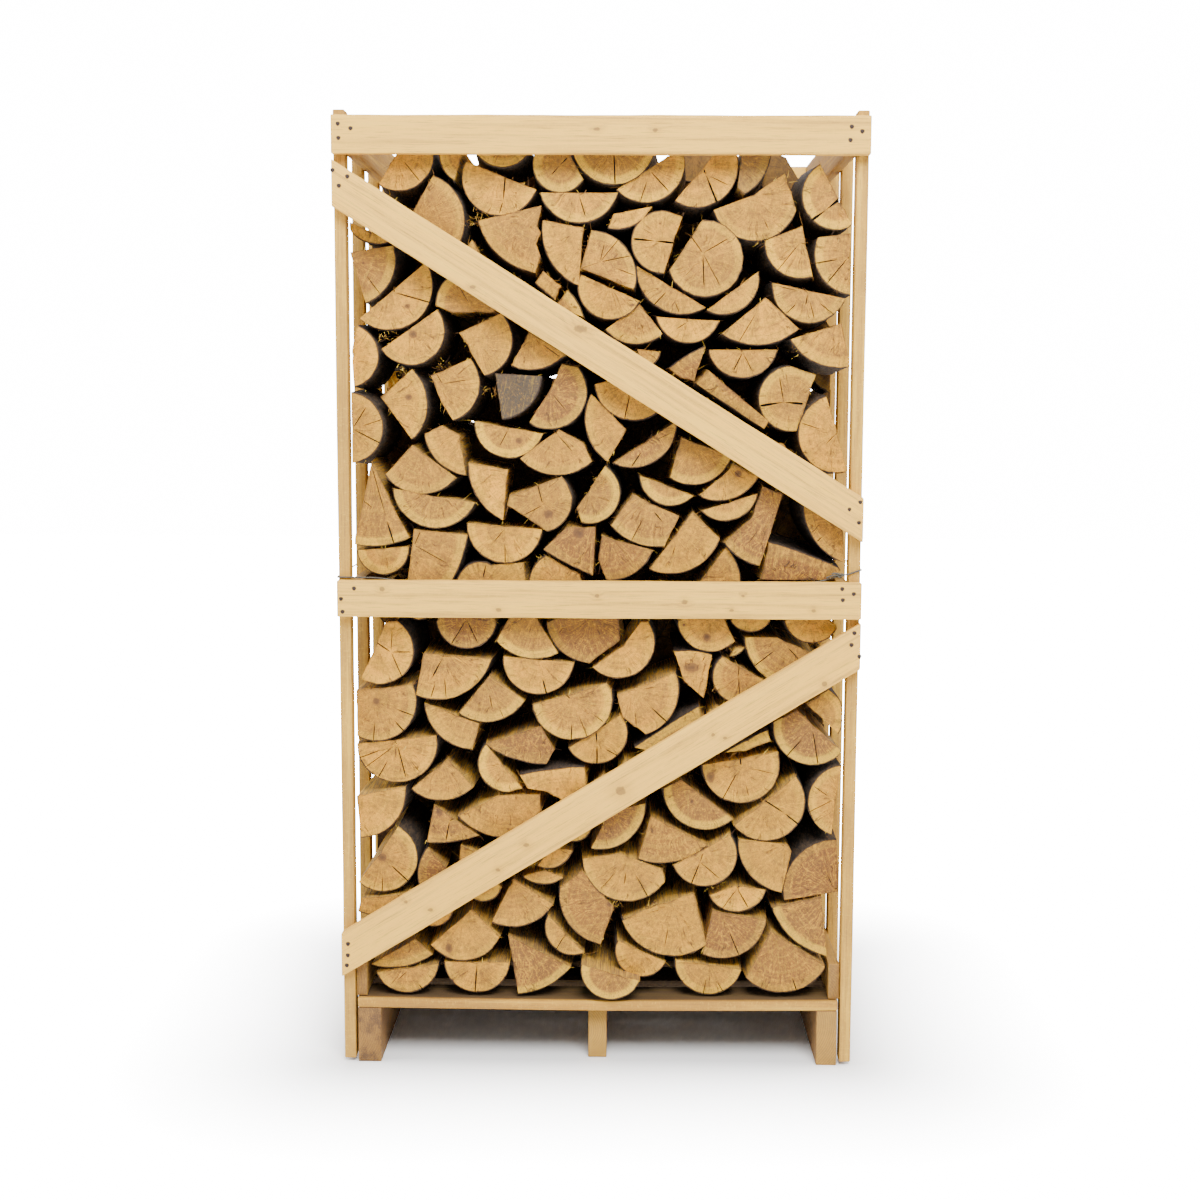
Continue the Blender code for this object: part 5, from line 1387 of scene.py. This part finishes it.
faces = (offsets + lids).reshape(-1, 3).tolist() + (offsets + walls).reshape(-1, 4).tolist()
steel_walls = np.repeat([0] * (NAIL_HEAD_RINGS - 1) + [1] * (len(profile) - 1 - NAIL_HEAD_RINGS), NAIL_SIDES)
kinds = np.concatenate([np.zeros(len(heads) * NAIL_SIDES, int), np.tile(steel_walls, len(heads))])
nails = finish_object("nails", points.reshape(-1, 3), faces, (steel_nail(), bruised_wood_with_shadow()), kinds)


# The twine. A blue-grey cord of three twisted strands is tied round the corner posts, just
# above the middle rail. It dips behind the rail across the front, and its knot sits inside
# the right front post with two short tails.
TWINE_DIAMETER = 0.0036
TWINE_OFF = TWINE_DIAMETER / 2 + 0.0003
SIDE = POST_OUTER + TWINE_OFF
BEND = TWINE_OFF * 0.92
FRONT, BACK = FRONT_OF_POSTS, BACK_OF_POSTS
KNOT_PLACE = np.array((0.516, -0.4010, 1.0890))
TWINE_ROUTE = [
    (SIDE, FRONT + 0.003, 1.1010), (POST_OUTER + BEND, FRONT - BEND, 1.1008),
    (0.557, FRONT - TWINE_OFF, 1.1005), (0.534, FRONT - TWINE_OFF, 1.0920),
    (0.516, FRONT - 0.0010, 1.0890), (0.480, FRONT + 0.0035, 1.0770), (0.400, FRONT + 0.0045, 1.0640),
    (0.000, FRONT + 0.0045, 1.0520), (-0.380, FRONT + 0.0045, 1.0640), (-0.440, FRONT + 0.0040, 1.0740),
    (-0.480, FRONT + 0.0010, 1.0790), (-0.534, FRONT - TWINE_OFF, 1.0800),
    (-0.557, FRONT - TWINE_OFF, 1.0800), (-POST_OUTER - BEND, FRONT - BEND, 1.0802),
    (-SIDE, FRONT + 0.003, 1.0805), (-SIDE, BACK - 0.003, 1.0830),
    (-POST_OUTER - BEND, BACK + BEND, 1.0830), (-0.557, BACK + TWINE_OFF, 1.0830),
    (0.000, BACK + TWINE_OFF, 1.0800), (0.557, BACK + TWINE_OFF, 1.0850),
    (POST_OUTER + BEND, BACK + BEND, 1.0852), (SIDE, BACK - 0.003, 1.0855),
]
TAILS = (
    [(0.512, -0.4020, 1.0895), (0.503, -0.4035, 1.0900), (0.494, -0.4030, 1.0872), (0.486, -0.4012, 1.0830)],
    [(0.520, -0.4020, 1.0905), (0.514, -0.4040, 1.0930), (0.504, -0.4040, 1.0945), (0.497, -0.4030, 1.0922)],
)
STRAND_TURN = 520.0         # how fast the strands wind, in radians for each metre of string
STRING_STEP = 0.0021
STRING_SIDES = 12


def along_points(route, step, closed):
    """Evenly spaced points on straight runs between a route's points."""
    route = np.array(route, float)
    if closed:
        route = np.concatenate([route, route[:1]])
    reach = np.concatenate([[0.0], np.cumsum(np.sqrt((np.diff(route, axis=0) ** 2).sum(1)))])
    stops = np.linspace(0, reach[-1], max(4, int(reach[-1] / step)), endpoint=not closed)
    return np.stack([np.interp(stops, reach, route[:, axis]) for axis in range(3)], 1)


def eased(line, rounds, closed):
    """Each point moved to the mean of itself and its neighbours, several times over. The
    ends of an open line stay."""
    for _ in range(rounds):
        mean = (np.roll(line, 1, 0) + 2 * line + np.roll(line, -1, 0)) / 4
        line = mean if closed else np.concatenate([line[:1], mean[1:-1], line[-1:]])
    return line


def twisted(line, closed, thick=TWINE_DIAMETER / 2):
    """Points, faces and strand places of a string along a line. Its cross-section has three
    lobes, one for each strand, and turns with the distance along the line."""
    ahead_of = np.roll(line, -1, 0) - np.roll(line, 1, 0)
    if not closed:
        ahead_of[0], ahead_of[-1] = line[1] - line[0], line[-1] - line[-2]
    ahead_of /= np.sqrt((ahead_of ** 2).sum(1))[:, None]
    first = np.cross(ahead_of, (0.12, 0.21, 1.0))
    first /= np.sqrt((first ** 2).sum(1))[:, None]
    second = np.cross(ahead_of, first)
    sides = STRING_SIDES
    turn = np.arange(sides) * math.tau / sides
    way = np.concatenate([[0.0], np.cumsum(np.sqrt((np.diff(line, axis=0) ** 2).sum(1)))])
    phase = turn[None] - way[:, None] * STRAND_TURN / 3
    size = thick * (0.80 + 0.20 * abs(np.cos(1.5 * phase)))
    if not closed:
        size[[0, -1]] *= 0.55
    points = line[:, None] + size[..., None] * (np.cos(turn)[None, :, None] * first[:, None]
                                                + np.sin(turn)[None, :, None] * second[:, None])
    quads = tube_faces(1, len(line), sides, closed).reshape(-1, 4).tolist()
    if not closed:
        last = (len(line) - 1) * sides
        quads += [list(range(sides - 1, -1, -1)), list(range(last, last + sides))]
    strand = np.stack([np.broadcast_to(way[:, None], phase.shape), phase, size / thick], -1)
    return points.reshape(-1, 3), quads, strand.reshape(-1, 3)


def twine_finish():
    """Dull synthetic twine: blue-grey strands with painted shade in the grooves between them, and paler worn
    hairs.
    """
    look = Finish("blue grey twine")
    way, phase, swell = look.parts(look.attribute("strand_place"))
    hairs = look.noise(look.vector(way * 900.0, phase * 6.0, 0.0), 1.0, 4.0, 0.7)
    worn = look.noise(look.vector(way * 60.0, phase, 4.0), 1.0, 3.0, 0.6)
    string = look.blend(hairs.rise(0.38, 0.62), paint(0.0467, 0.0436, 0.0354), paint(0.112, 0.104, 0.0846))
    string = look.coats(
        string,
        (worn.rise(0.5, 0.65) * 0.5, (0.187, 0.174, 0.142)),
        # painted shade in the grooves between the strands
        (1 - swell.rise(0.80, 0.92), (0.0167, 0.0156, 0.0126)),
    )
    return look.wear(string, 0.7 + hairs * 0.15, look.relief(hairs, 0.5, 0.0003))


knot_turn = np.linspace(0, math.tau, 90, endpoint=False)
knot_line = np.stack([
    np.sin(knot_turn) + 2 * np.sin(2 * knot_turn),
    -np.sin(3 * knot_turn),
    np.cos(knot_turn) - 2 * np.cos(2 * knot_turn),
], 1) * (0.0028, 0.0026, 0.0014) + KNOT_PLACE
strings = [
    (eased(along_points(TWINE_ROUTE, STRING_STEP, True), 3, True), True),
    (knot_line, True),
    *((eased(along_points(tail, STRING_STEP / 2, False), 20, False), False) for tail in TAILS),
]
points, faces, strand = [], [], []
for line, closed in strings:
    line_points, line_faces, line_strand = twisted(line, closed)
    first = sum(len(part) for part in points)
    faces += [[corner + first for corner in face] for face in line_faces]
    points.append(line_points)
    strand.append(line_strand)
twine = finish_object("tied_twine", np.concatenate(points), faces, [twine_finish()],
                      values={"strand_place": np.concatenate(strand)}, soft_angle=80.0)
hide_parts("twine")
